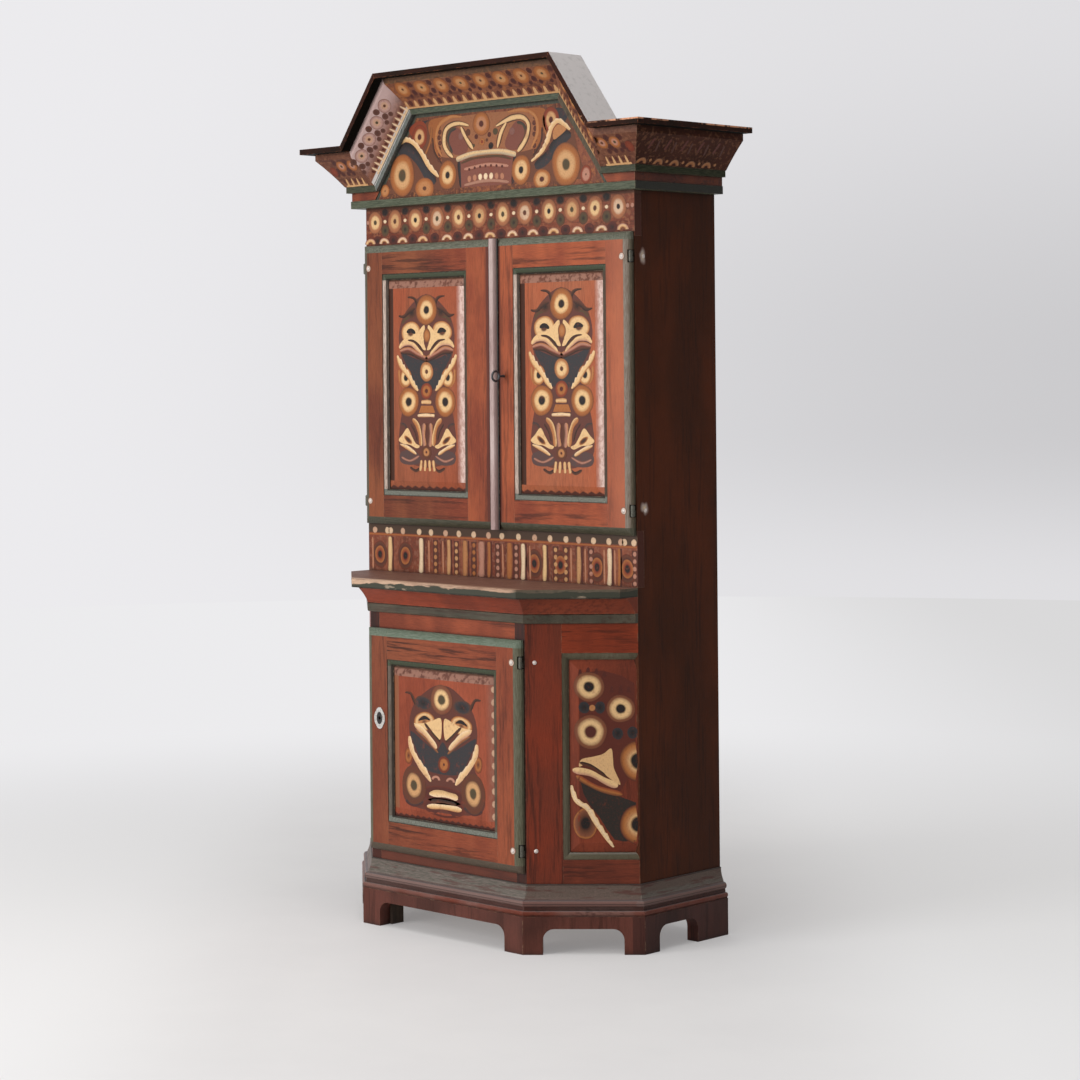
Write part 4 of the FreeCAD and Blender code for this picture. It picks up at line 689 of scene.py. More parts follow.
def coat_bare_wood_and_metal():
    coat("shelves upper_floor top_board lower_floor", bare_wood("pine_x", ALONG_X))
    coat("shelf_battens", bare_wood("pine_y", ALONG_Y, seed=3.0))
    coat("gable_blocks", bare_wood("pine_z", ALONG_Z, seed=6.0))
    coat("back_boards", bare_wood("pine_boards", ALONG_Z, board=0.1688, seed=6.5))
    coat("glue_blocks", bare_wood("old_block", ALONG_Z,
                                  ((0.030, 0.019, 0.013), (0.014, 0.009, 0.006)), seed=8.0))
    coat("hinge_pins upper_lock_case upper_lock_bolt lower_lock_case lower_lock_bolt",
         metal("iron", IRON, 0.5))
    coat("frame_hinge_leaves upper_left_door_leaves upper_right_door_leaves lower_door_leaves",
         metal("hinges", (0.080, 0.078, 0.058), 0.5, heads=(0.62, 0.54, 0.49)))
    coat("upper_key", metal("key", (0.060, 0.062, 0.070), 0.4))
    coat("lower_escutcheon", metal("pewter", PEWTER, 0.42, dark_zone=keyhole_shade))


# --- brush ornament -----------------------------------------------------------------------

UNDER = -0.05   # how far the painted shapes reach into the wood
ORNAMENT_PAINT = brushwork("ornament")


def smooth_path(points, steps=7, closed=False):
    """A Catmull-Rom curve through the points."""
    count = len(points)
    path = []
    for i in range(count if closed else count - 1):
        four = []
        for j in range(i - 1, i + 3):
            four.append(points[j % count if closed else min(max(j, 0), count - 1)])
        for step in range(steps):
            t = step / steps
            path.append(tuple(
                0.5 * (2 * b + (c - a) * t + (2 * a - 5 * b + 4 * c - d) * t * t
                       + (3 * b - a - 3 * c + d) * t ** 3)
                for a, b, c, d in zip(*four)))
    if not closed:
        path.append(points[-1])
    return path


def disc(core, rim, share=None):
    """The stops of a plain round spot, whose core reaches out to share."""
    return [(0.02, core)] + ([(share, core)] if share else []) + [(1.0, rim)]


def waver(angle, seed):
    """A small hand-made unevenness, about -1 to 1."""
    return (0.5 * math.sin(2 * angle + seed * 1.7) + 0.3 * math.sin(3 * angle + seed * 4.1)
            + 0.2 * math.sin(5 * angle + seed * 2.3))


class Ornament:
    """Brush-painted shapes on one surface, as thin closed slabs in one mesh.

    place(u, v, lift) gives a point of the surface in millimetres, lifted off it. Points are
    measured from the middle, and flip = -1 mirrors them.
    """

    def __init__(self, name, body, place, middle=(0, 0)):
        self.name = name
        self.body = body
        self.place = place
        self.middle = middle
        self.flip = 1
        self.count = 0
        self.mesh = bmesh.new()
        self.paint = self.mesh.verts.layers.float_color.new("paint")

    def vertex(self, u, v, lift, colour):
        u, v = self.middle[0] + self.flip * u, self.middle[1] + v
        vertex = self.mesh.verts.new(Vector(self.place(u, v, lift)) * MM)
        vertex[self.paint] = rgba(colour)
        return vertex

    def grid(self, rows, lift, loop):
        """A closed slab from rows of (u, v, colour); loop joins each row's end to its start."""
        tops = [[self.vertex(u, v, lift, c) for u, v, c in row] for row in rows]
        feet = [[self.vertex(u, v, UNDER, c) for u, v, c in row] for row in rows]
        new = self.mesh.faces.new
        count = len(rows[0])
        spans = [(j, (j + 1) % count) for j in range(count if loop else count - 1)]
        for i in range(len(rows) - 1):
            for j, k in spans:
                new((tops[i][j], tops[i + 1][j], tops[i + 1][k], tops[i][k]))
                new((feet[i][k], feet[i + 1][k], feet[i + 1][j], feet[i][j]))
            if not loop:
                new((tops[i][0], feet[i][0], feet[i + 1][0], tops[i + 1][0]))
                new((tops[i + 1][-1], feet[i + 1][-1], feet[i][-1], tops[i][-1]))
        for j, k in spans:
            new((tops[0][k], feet[0][k], feet[0][j], tops[0][j]))
            new((tops[-1][j], feet[-1][j], feet[-1][k], tops[-1][k]))

    def ring(self, u, v, radius, stops, lift=0.3, squash=1.0, turn=0.0, arc=None, uneven=0.05):
        """Rings from the middle out; stops are (share of the radius, colour).

        arc = (start, sweep) in degrees gives a part of it.
        """
        self.count += 1
        seed = self.count * 1.37 + 0.01 * u
        start, sweep = arc or (0.0, 360.0)
        around = max(8, int((14 + 0.5 * radius) * sweep / 360))
        spokes = around + 1 if arc else around
        slant = math.radians(turn)
        rows = []
        for share, colour in stops:
            row = []
            for j in range(spokes):
                angle = math.radians(start + sweep * j / around)
                reach = radius * share * (1 + uneven * waver(angle, seed))
                a, b = reach * math.cos(angle), reach * squash * math.sin(angle)
                row.append((u + a * math.cos(slant) - b * math.sin(slant),
                            v + a * math.sin(slant) + b * math.cos(slant), colour))
            rows.append(row)
        self.grid(rows, lift, not arc)

    def dot(self, u, v, radius, colour, lift=0.4, squash=1.0, turn=0.0):
        rim = blend(colour, BROWN, 0.35)
        self.ring(u, v, radius, disc(colour, rim, 0.7), lift, squash, turn)

    def flower(self, u, v, radius, eye, ring=CREAM, halo=TAN, dark=INK, spread=1.25, lift=0.3,
               squash=1.0, arc=None):
        """A round flower: dark eye, pale ring, and a darker surround out to spread."""
        core = eye / radius
        soft = blend(ring, dark, 0.45)
        stops = [(0.02, dark), (0.88 * core, dark), (1.10 * core, soft), (1.28 * core, ring),
                 (0.72, ring), (0.90, blend(ring, halo, 0.55)), (1.0, halo),
                 (0.3 + 0.7 * spread, blend(halo, RED_BROWN, 0.35)),
                 (spread, blend(halo, BROWN, 0.8))]
        self.ring(u, v, radius, stops, lift, squash, arc=arc)

    def stroke(self, points, width, colours, lift=0.3, taper=(0.15, 0.15), teeth=0, bite=0.35):
        """A tapered brush stroke; colours run across it from its right edge to its left.

        teeth cuts a saw edge into its left side.
        """
        self.count += 1
        path = smooth_path(points)
        last = len(path) - 1
        rows = []
        for i, (u, v) in enumerate(path):
            before, after = path[max(i - 1, 0)], path[min(i + 1, last)]
            du, dv = after[0] - before[0], after[1] - before[1]
            length = math.hypot(du, dv) or 1.0
            t = i / last
            full = min(1.0, (t + 0.02) / max(taper[0], 0.01), (1.02 - t) / max(taper[1], 0.01))
            half = 0.5 * width * math.sqrt(full) * (1 + 0.10 * math.sin(9 * t + self.count))
            row = []
            for k, colour in enumerate(colours):
                side = -1 + 2 * k / (len(colours) - 1)
                reach = half * side
                if teeth and side == 1:
                    reach *= 1 - bite * (t * teeth % 1.0)
                row.append((u - dv / length * reach, v + du / length * reach, colour))
            rows.append(row)
        self.grid(rows, lift, False)

    def field(self, outline, colour, lift=0.15, smooth=True):
        """A flat patch inside a closed outline, for flat surfaces only."""
        path = smooth_path(outline, 5, True) if smooth else outline
        tops = [self.vertex(u, v, lift, colour) for u, v in path]
        feet = [self.vertex(u, v, UNDER, colour) for u, v in path]
        new = self.mesh.faces.new
        new(tops)
        new(feet[::-1])
        for i in range(len(path)):
            k = (i + 1) % len(path)
            new((tops[k], tops[i], feet[i], feet[k]))

    def done(self):
        bmesh.ops.recalc_face_normals(self.mesh, faces=self.mesh.faces)
        mesh = bpy.data.meshes.new(self.name)
        self.mesh.to_mesh(mesh)
        self.mesh.free()
        mesh.materials.append(ORNAMENT_PAINT)
        piece = placed(self.name, mesh)
        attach(piece, self.body)


# --- the surfaces that carry ornament ------------------------------------------------------

BEVEL_WIDTH = 21.0
BEVEL_FALL = 6.1
BOARD_FACE, GABLE_FACE = -31.0, -53.0
UPPER_DOOR_FACE, LOWER_DOOR_FACE = -47.8, -215.8
PANEL_SET_BACK = 3.0
CANT_CORNER = (252.0, -199.0)
HALF_WIDTH, TOP, LOW_TOP, RIDGE_HALF = 440, 2000, 1836, 289


def flat(front):
    return lambda u, v, lift: (u, front - lift, v)


def bevel_fall(u, v, x, z):
    away = max(x[0] - u, u - x[1], z[0] - v, v - z[1], 0.0)
    return min(away, BEVEL_WIDTH) * BEVEL_FALL / BEVEL_WIDTH


def raised(front, x, z):
    """The field of a raised panel, with its bevels."""
    return lambda u, v, lift: (u, front + bevel_fall(u, v, x, z) - lift, v)


def cant_face(side):
    """The panel of a cant: u runs back along it from the front corner."""
    def place(u, v, lift):
        e = lift - PANEL_SET_BACK - bevel_fall(u, v, (118.0, 1e3), (242.0, 628.0))
        x = CANT_CORNER[0] + CANT_X * u + CANT_Y * e
        return side * x, CANT_CORNER[1] + CANT_Y * u - CANT_X * e, v
    return place


COVE_LENGTH = 82.6
RIDGE_SHRINK = 96 / 108


def cove_profile(v, lift, shrink):
    """Projection and drop of a point v up the hollow from its foot."""
    t = v / COVE_LENGTH
    out, fall = 51.0, -65.0 * shrink
    length = math.hypot(out, fall)
    stand = lift - 1.42 * 4 * t * (1 - t)
    return 36 + out * t - fall / length * stand, 93 * shrink + fall * t + out / length * stand


def ridge_cove(u, v, lift):
    e, drop = cove_profile(v, lift, RIDGE_SHRINK)
    return u, BOARD_FACE - e, TOP - drop


def slope_cove(side):
    """u runs down the slope from the ridge's end."""
    def place(u, v, lift):
        e, drop = cove_profile(v, lift, RIDGE_SHRINK)
        x = RIDGE_HALF + RUN * u - FALL * drop
        return side * x, BOARD_FACE - e, TOP - FALL * u - RUN * drop
    return place


def low_cove(u, v, lift):
    e, drop = cove_profile(v, lift, 1.0)
    return u, BOARD_FACE - e, LOW_TOP - drop


def return_cove(side):
    """u runs back along the side."""
    def place(u, v, lift):
        e, drop = cove_profile(v, lift, 1.0)
        return side * (HALF_WIDTH + e), u, LOW_TOP - drop
    return place


# --- the ornament, surface by surface --------------------------------------------------------

def frieze():
    """A row of flowers, with half moons under them and dark spots between."""
    o = Ornament("frieze_ornament", "carcass", flat(BOARD_FACE))
    middles = (-407, -337, -265, -190, -117, -47, 30, 101, 178, 250, 321, 392)
    for i, u in enumerate(middles):
        ring = (CREAM, blend(TAN, CREAM, 0.5), CREAM, blend(PALE, PINK, 0.4))[i % 4]
        o.flower(u, 1655, 16.5, 5, ring, blend(OCHRE, PINK, 0.3), (OLIVE, BROWN, INK)[i % 3], 1.5,
                 squash=1.15)
    for a, b in zip(middles, middles[1:]):
        u = (a + b) / 2
        o.ring(u, 1679, 13, disc(INK, BROWN, 0.6), 0.2, 0.85)
        o.ring(u, 1634, 14, [(0.02, INK), (0.5, OLIVE), (1.0, BROWN)], 0.2, 1.05)
        o.dot(u, 1656, 5.5, PALE, squash=0.8)
    for u in (-433, 420, 434):
        o.dot(u, 1656, 5, PINK)
    arcs = (-425, -375, -311, -240, -157, -85, -12, 60, 127, 192, 267, 340, 405)
    for i, u in enumerate(arcs):
        o.ring(u, 1603, 19, [(0.30, BROWN), (0.42, TAN), (0.65, PALE if i % 3 else CREAM),
                             (0.9, PINK), (1.0, BROWN)], 0.3, 0.75, arc=(0, 180))
    for a, b in zip(arcs, arcs[1:]):
        o.ring((a + b) / 2, 1610, 15, [(0.02, INK), (0.7, MAROON), (1.0, MAROON)], 0.2, 0.8)
    for i in range(23):
        u = -426 + 37 * i
        o.stroke([(u, 1630), (u + 9, 1633), (u + 20, 1629)], 5, (RED, OCHRE), 0.12)
    o.done()


def apron():
    """Upright lines, dotted bars and round flowers under a row of dots."""
    high, low = 892, 809
    o = Ornament("apron_ornament", "carcass", flat(BOARD_FACE))
    dots = (-417, -373, -361, -318, -261, -220, -170, -125, -75, -26, 18, 72, 124, 173, 223, 262,
            308, 355, 391, 402, 430)
    for i, u in enumerate(dots):
        o.dot(u, 907, 8, blend(PALE, PINK, 0.25 + 0.4 * (i % 3 == 0)))
    o.stroke([(-438, 897), (0, 898), (438, 897)], 6, (RED, OCHRE, RED), 0.15, (0, 0))
    dim = blend(CREAM, TAN, 0.7)
    lines = ((-364, 14, CREAM), (-255, 14, PALE), (-160, 12, dim), (-105, 16, TAN),
             (-50, 19, PINK), (-25, 10, OCHRE), (42, 18, OCHRE), (86, 13, PALE), (155, 12, CREAM),
             (262, 13, dim), (356, 13, PALE), (385, 8, OCHRE))
    for u, width, tone in lines:
        shade = blend(tone, BROWN, 0.5)
        o.stroke([(u, high), (u + 1, 850), (u - 1, low)], width, (shade, tone, tone, shade), 0.3,
                 (0.05, 0.05))
        o.stroke([(u + 0.75 * width, high), (u + 0.75 * width, low)], 5, (MAROON, MAROON), 0.2,
                 (0.02, 0.02))
    for u in (-205, -134, -75, 4, 64, 190, 222, 300, 432):
        tone = (PINK, TAN, dim, OCHRE)[abs(u) % 4]
        o.stroke([(u, 890), (u, 811)], 17, (MAROON, BROWN, MAROON), 0.15, (0.02, 0.02))
        for k in range(5):
            o.dot(u, 882 - 16.5 * k, 5.4, tone, 0.4)
    for u in (-400, -310, 122, 205, 318, 410):
        o.ring(u, 848, 27, [(0.02, INK), (0.22, INK), (0.34, RED), (0.6, OCHRE), (0.66, MAROON),
                            (0.85, BROWN), (1.0, RED_BROWN)], 0.2, 1.25)
    for u in (-426, -228, -180, 20, 108, 238, 282, 340, 372):
        o.stroke([(u, 888), (u + 1, 812)], 6, (OCHRE, PINK, OCHRE), 0.25, (0.05, 0.05))
    o.done()


def leaf_band(o, points, shadow):
    """A pale toothed leaf over a blue-black band."""
    o.stroke(shadow, 29, (SLATE, SLATE, INK), 0.15, (0.2, 0.2))
    o.stroke(points, 14, (blend(CREAM, TAN, 0.4), CREAM, PALE), 0.35, (0.25, 0.15), teeth=11,
             bite=0.55)


def tympanum():
    """The gable's urn between two toothed leaves and round flowers."""
    o = Ornament("tympanum_ornament", "carcass", flat(GABLE_FACE))
    o.field([(-330, 1722), (-250, 1722), (-170, 1722), (0, 1722), (170, 1722), (250, 1722),
             (330, 1722), (300, 1760), (250, 1870), (100, 1888), (-100, 1888), (-250, 1870),
             (-300, 1760)], (0.110, 0.040, 0.021), 0.1)
    o.field([(-160, 1800), (-175, 1840), (-160, 1882), (-60, 1890), (60, 1890), (165, 1882),
             (175, 1840), (160, 1800), (0, 1790)], (0.24, 0.095, 0.042), 0.11)
    for side in (-1, 1):
        for k in range(7):
            o.ring(side * (158 - 3 * (k % 2)), 1792 + 13 * k, 6, disc(BROWN, MAROON),
                   0.14)
    for side in (-1, 1):
        o.field([(side * u, v) for u, v in ((190, 1888), (262, 1878), (232, 1836), (205, 1880))],
                SLATE, 0.13)
        o.field([(side * u, v) for u, v in ((96, 1890), (185, 1888), (190, 1850), (165, 1800),
                                            (150, 1790), (168, 1840), (150, 1878))],
                blend(OCHRE, RED_BROWN, 0.3), 0.12)
        o.stroke([(side * 205, 1808), (side * 188, 1838), (side * 184, 1872)], 9,
                 (BROWN, OCHRE, BROWN), 0.2)
        o.stroke([(side * 150, 1782), (side * 175, 1812), (side * 180, 1845)], 6, (INK, BROWN),
                 0.16)
    left_leaf = [(-292, 1838), (-272, 1848), (-245, 1838), (-217, 1812), (-192, 1780),
                 (-160, 1752)]
    leaf_band(o, left_leaf, [(-300, 1822), (-262, 1822), (-228, 1796), (-200, 1765), (-172, 1738)])
    right_leaf = [(145, 1770), (176, 1790), (196, 1815), (208, 1843), (232, 1857), (268, 1834)]
    leaf_band(o, right_leaf, [(156, 1757), (190, 1772), (220, 1798), (245, 1818), (270, 1822)])
    o.field([(215, 1835), (232, 1848), (255, 1836), (235, 1822), (216, 1815)], TAN, 0.4)
    gold = blend(CREAM, TAN, 0.55)
    o.flower(-286, 1762, 31, 12, gold, OCHRE, OLIVE, 1.4, 0.4, squash=1.15)
    o.flower(254, 1756, 32, 11, gold, OCHRE, OLIVE, 1.4, 0.4, squash=1.1)
    o.flower(-130, 1754, 21, 7, blend(CREAM, TAN, 0.2), OCHRE, INK, 1.45, 0.4, squash=1.12)
    o.flower(112, 1752, 22, 7, blend(CREAM, TAN, 0.2), OCHRE, INK, 1.4, 0.4, squash=1.12)
    o.flower(-209, 1727, 24, 6, TAN, OCHRE, BROWN, 1.35, 0.35, squash=0.8)
    o.flower(178, 1727, 22, 7, gold, OCHRE, MAROON, 1.3, 0.35, squash=0.8)
    o.field([(-262, 1868), (-230, 1888), (-205, 1880), (-200, 1850), (-230, 1840)], RED, 0.14)
    o.flower(-225, 1850, 18, 6, gold, RED, MAROON, 1.45, 0.2, squash=1.15)
    o.flower(208, 1860, 18, 6, gold, RED, MAROON, 1.45, 0.2, squash=1.15)
    o.flower(-16, 1867, 19, 7, blend(TAN, PINK, 0.4), OCHRE, MAROON, 1.5, 0.4)
    o.flower(-347, 1728, 12, 2, TAN, OCHRE, BROWN, 1.3, 0.3)
    o.flower(315, 1730, 13, 2, PINK, RED, BROWN, 1.3, 0.3, squash=1.3)
    handles(o)
    urn(o)
    o.done()


def handles(o):
    """The urn's two scrolled handles."""
    cream = (blend(CREAM, BROWN, 0.35), CREAM, CREAM, blend(CREAM, BROWN, 0.25))
    left = [(-112, 1795), (-132, 1812), (-141, 1832), (-136, 1858), (-118, 1870), (-90, 1873),
            (-58, 1866)]
    right = [(102, 1795), (120, 1812), (133, 1832), (136, 1856), (118, 1872), (90, 1874),
             (62, 1868), (32, 1858)]
    for outer, shape in ((left, [(-150, 1800), (-168, 1835), (-158, 1872), (-120, 1890),
                                 (-80, 1888)]),
                         (right, [(145, 1800), (165, 1835), (158, 1872), (120, 1889),
                                  (70, 1888)])):
        o.stroke(shape, 9, (OCHRE, TAN, OCHRE), 0.2, (0.2, 0.3))
        o.stroke(outer, 16, (BROWN, INK, BROWN), 0.33, (0.1, 0.25))
        o.stroke(outer, 10, cream, 0.4, (0.1, 0.25))
    for side in (-1, 1):
        o.field([(side * u, v) for u, v in ((108, 1802), (126, 1832), (116, 1860), (92, 1862),
                                            (62, 1822), (70, 1802))], (0.15, 0.050, 0.034), 0.3)
        o.stroke([(side * 113, 1806), (side * 128, 1834), (side * 120, 1856), (side * 100, 1862)],
                 8, (SLATE, OLIVE), 0.35)
        o.dot(side * 84, 1843, 9, (0.17, 0.075, 0.06), 0.38)
    for shape in ([(-84, 1864), (-68, 1838), (-44, 1810)], [(66, 1864), (48, 1842), (36, 1808)]):
        o.stroke(shape, 15, (BROWN, MAROON, BROWN), 0.35, (0.3, 0.2))
        o.stroke(shape, 9, cream, 0.42, (0.3, 0.2))
    for u, v, radius, tone in ((-60, 1850, 8, BROWN), (30, 1846, 8, OLIVE), (-33, 1838, 6, MAROON),
                               (10, 1840, 6, MAROON), (-14, 1825, 9, OCHRE), (-14, 1825, 4, RED),
                               (15, 1814, 8, INK), (-42, 1818, 4, OLIVE), (2, 1828, 4, BROWN)):
        o.dot(u, v, radius, tone, 0.42 + 0.04 * (radius < 5))


def urn(o):
    """The urn's body and rim, with rows of dots."""
    o.field([(-86, 1786), (86, 1786), (80, 1722), (-84, 1722)], (0.16, 0.055, 0.038), 0.3, False)
    grey = (0.40, 0.30, 0.19)
    o.stroke([(-100, 1788), (-50, 1798), (0, 1800), (50, 1798), (96, 1788)], 12,
             (blend(grey, BROWN, 0.5), grey, CREAM, grey), 0.45, (0.05, 0.05))
    o.stroke([(-84, 1779), (-40, 1788), (0, 1790), (40, 1788), (82, 1779)], 5, (BROWN, OLIVE),
             0.5, (0.1, 0.1))
    for v, tone in ((1768, PINK), (1731, (0.30, 0.15, 0.10))):
        o.stroke([(-74, v - 4), (0, v + 3), (72, v - 4)], 11, (RED_BROWN, tone, tone, RED_BROWN),
                 0.4, (0.1, 0.1))
    for k in range(7):
        u = -57 + 18 * k
        o.dot(u, 1768 - 0.0015 * u * u, 3.5, MAROON, 0.5)
        tone = PALE if abs(u) < 25 else blend(PINK, OCHRE, 0.4)
        o.dot(u, 1744 - 0.001 * u * u, 6.5, tone, 0.45, 1.2)
    for side in (-1, 1):
        o.stroke([(side * 92, 1785), (side * 90, 1755), (side * 84, 1722)], 9, (INK, SLATE), 0.25)


def upper_door(side, middle, low):
    """The same figure on each upper door; low is how far the lower half sits below the middle."""
    x = (112.5, 331.0) if side == "right" else (-331.0, -112.5)
    o = Ornament(f"upper_{side}_door_ornament", f"upper_{side}_door",
                 raised(UPPER_DOOR_FACE + PANEL_SET_BACK, x, (1029.0, 1492.0)), (middle, low))
    brown_ground = (0.085, 0.031, 0.023)
    o.field([(-90, 1340), (-95, 1390), (-70, 1440), (0, 1480), (70, 1440), (95, 1390),
             (90, 1340), (68, 1250), (92, 1180), (92, 1095), (0, 1066), (-92, 1095),
             (-92, 1180), (-68, 1250)], blend(RED, brown_ground, 0.92), 0.08)
    o.field([(-85, 1338), (-38, 1326), (0, 1320), (38, 1326), (85, 1338), (58, 1295), (34, 1258),
             (0, 1250), (-34, 1258), (-58, 1295)], SLATE, 0.15)
    o.field([(-36, 1262), (36, 1262), (24, 1215), (40, 1180), (-40, 1180), (-24, 1215)],
            brown_ground, 0.12, False)
    for o.flip in (1, -1):
        upper_door_half(o, brown_ground)
    o.flip = 1
    o.flower(1, 1442, 24, 9, CREAM, OCHRE, INK, 1.5, 0.45)
    o.ring(2, 1381, 12, [(0.02, TAN), (0.6, OCHRE), (1.0, BROWN)], 0.46, 1.5)
    o.flower(0, 1295, 18, 5, CREAM, TAN, BROWN, 1.3, 0.4)
    o.flower(-1, 1249, 15, 5, OCHRE, RED, MAROON, 1.3, 0.4)
    o.stroke([(-19, 1222), (0, 1223), (15, 1222)], 10, (TAN, CREAM, TAN), 0.4, (0.1, 0.1))
    o.field([(-20, 1214), (20, 1214), (28, 1197), (-28, 1197)], OCHRE, 0.3, False)
    o.stroke([(-32, 1190), (0, 1191), (26, 1190)], 8, (TAN, PALE, CREAM), 0.45, (0.05, 0.05))
    o.stroke([(0, 1172), (1, 1150), (0, 1124)], 9, (MAROON, BROWN), 0.3)
    for u in (-11, 11):
        o.stroke([(u, 1172), (1.2 * u, 1145), (0.8 * u, 1116)], 13, (BROWN, PINK, TAN), 0.35)
    o.flower(-3, 1103, 11, 3, TAN, BROWN, MAROON, 1.5, 0.45)
    for u in (-20, -7, 7, 20):
        o.stroke([(u, 1084), (1.1 * u, 1070), (1.25 * u, 1058)], 9, (TAN, CREAM, TAN), 0.4)
    o.done()


def upper_door_half(o, ground):
    """One half of the figure; the other one is its mirror image."""
    # horns and dark buds beside the top flower
    o.stroke([(-64, 1474), (-45, 1472), (-33, 1462), (-31, 1446)], 8, (INK, BROWN), 0.3,
             (0.5, 0.2))
    o.stroke([(-96, 1430), (-78, 1428), (-58, 1440), (-38, 1447)], 9, (INK, BROWN), 0.3,
             (0.4, 0.2))
    o.ring(-50, 1436, 14, disc(INK, BROWN), 0.25, 0.9)
    o.stroke([(-84, 1412), (-70, 1424), (-50, 1428)], 8, (OLIVE, BROWN), 0.2)
    # wing flower with its eye
    o.ring(-54, 1389, 34, [(0.02, BROWN), (0.24, BROWN), (0.40, CREAM), (0.74, CREAM),
                           (0.95, OCHRE), (1.0, BROWN)], 0.3, 0.78, 12)
    o.stroke([(-68, 1390), (-52, 1394), (-38, 1387)], 11, (INK, INK), 0.36, (0.4, 0.4))
    # wing: upper body, second and third stroke
    o.field([(-90, 1362), (-76, 1374), (-54, 1379), (-32, 1388), (-8, 1406), (-5, 1388),
             (-9, 1366), (-2, 1347), (-16, 1350), (-32, 1364), (-56, 1372)], CREAM, 0.42)
    o.stroke([(-64, 1371), (-44, 1368), (-28, 1358), (-12, 1343)], 8, (BROWN, INK), 0.46,
             (0.5, 0.2))
    o.stroke([(-94, 1352), (-80, 1362), (-52, 1363), (-30, 1350), (-12, 1334)], 12,
             (PINK, CREAM, CREAM), 0.44, (0.2, 0.3))
    o.stroke([(-92, 1345), (-62, 1350), (-30, 1338), (4, 1326)], 9, (RED_BROWN, PINK, OCHRE), 0.38)
    o.stroke([(-90, 1340), (-55, 1338), (-25, 1327), (4, 1318)], 6, (INK, BROWN), 0.3)
    # side diagonal with its small flower
    o.ring(-72, 1281, 21, [(0.02, INK), (0.30, INK), (0.42, CREAM), (0.66, CREAM), (0.84, TAN),
                           (0.94, OCHRE), (1.0, BROWN)], 0.3, 1.1)
    o.stroke([(-102, 1334), (-86, 1310), (-64, 1288), (-46, 1266), (-30, 1250)], 16,
             (OCHRE, CREAM, CREAM, PALE), 0.42, (0.2, 0.3), teeth=7, bite=0.6)
    o.stroke([(-96, 1300), (-94, 1275), (-80, 1258)], 7, (OCHRE, TAN), 0.25)
    # lower flower
    o.flower(-63, 1223, 26, 10, CREAM, OCHRE, INK, 1.35, 0.42)
    # palmette
    o.field([(-94, 1100), (-60, 1108), (-30, 1098), (-26, 1078), (-60, 1072), (-92, 1078)],
             (0.070, 0.040, 0.036), 0.15)
    o.field([(-99, 1131), (-86, 1144), (-68, 1160), (-54, 1142), (-40, 1124), (-26, 1118),
             (-36, 1112), (-60, 1120), (-82, 1122)], CREAM, 0.35)
    o.ring(-66, 1132, 17, [(0.02, INK), (0.55, BROWN), (0.8, OCHRE), (1.0, CREAM)], 0.42, 0.42,
           -32)
    o.stroke([(-94, 1121), (-66, 1112), (-38, 1098)], 9, (OCHRE, CREAM, PALE), 0.44, (0.4, 0.2))
    o.stroke([(-50, 1182), (-34, 1168), (-25, 1145), (-22, 1118)], 12, (OCHRE, TAN, CREAM), 0.4)
    o.stroke([(-56, 1170), (-42, 1152), (-34, 1130)], 5, (INK, BROWN), 0.38)
    o.stroke([(-94, 1170), (-80, 1168), (-72, 1160)], 7, (BROWN, SLATE), 0.25)
    o.stroke([(-90, 1090), (-60, 1082), (-28, 1094)], 7, (ground, PINK, ground), 0.3)
    o.stroke([(-60, 1066), (-40, 1058), (-24, 1066)], 7, (BROWN, INK), 0.25)


def lower_door():
    """A broader figure of the same kind, with a column of dots beside it."""
    o = Ornament("lower_door_ornament", "lower_door",
                 raised(LOWER_DOOR_FACE + PANEL_SET_BACK, (-143.0, 143.0), (281.0, 587.0)), (3, 0))
    ground = (0.075, 0.026, 0.019)
    o.field([(-112, 470), (-95, 525), (-40, 566), (0, 575), (40, 566), (95, 525), (112, 470),
             (100, 400), (132, 350), (120, 296), (0, 284), (-120, 296), (-132, 350),
             (-100, 400)], blend(RED, ground, 0.9), 0.08)
    o.field([(-108, 462), (-60, 440), (-22, 425), (0, 446), (22, 425), (60, 440), (108, 462),
             (80, 408), (52, 378), (0, 372), (-52, 378), (-80, 408)], SLATE, 0.15)
    for o.flip in (1, -1):
        lower_door_half(o)
    o.flip = 1
    o.flower(-3, 542, 26, 11, CREAM, (0.16, 0.060, 0.030), OLIVE, 1.35, 0.45)
    o.ring(0, 475, 9, disc(MAROON, RED_BROWN), 0.3, 2.4)
    o.flower(3, 395, 15, 3, OCHRE, RED_BROWN, MAROON, 1.3, 0.4)
    for v in (324, 296):
        o.ring(2, v, 72, disc(MAROON, blend(RED, MAROON, 0.7), 0.8), 0.12, 0.3)
    o.stroke([(-46, 324), (0, 328), (48, 323)], 15, (PALE, CREAM, blend(CREAM, BROWN, 0.4)), 0.42,
             (0.25, 0.15))
    o.stroke([(-40, 308), (0, 311), (42, 308)], 8, (BROWN, INK), 0.35)
    o.stroke([(-54, 294), (0, 298), (60, 297)], 12, (TAN, CREAM, PALE), 0.42, (0.25, 0.15))
    for k in range(11):
        o.dot(160, 292 + 28.5 * k, 7, blend(PINK, PALE, 0.35), 0.3, 1.15)
    o.done()


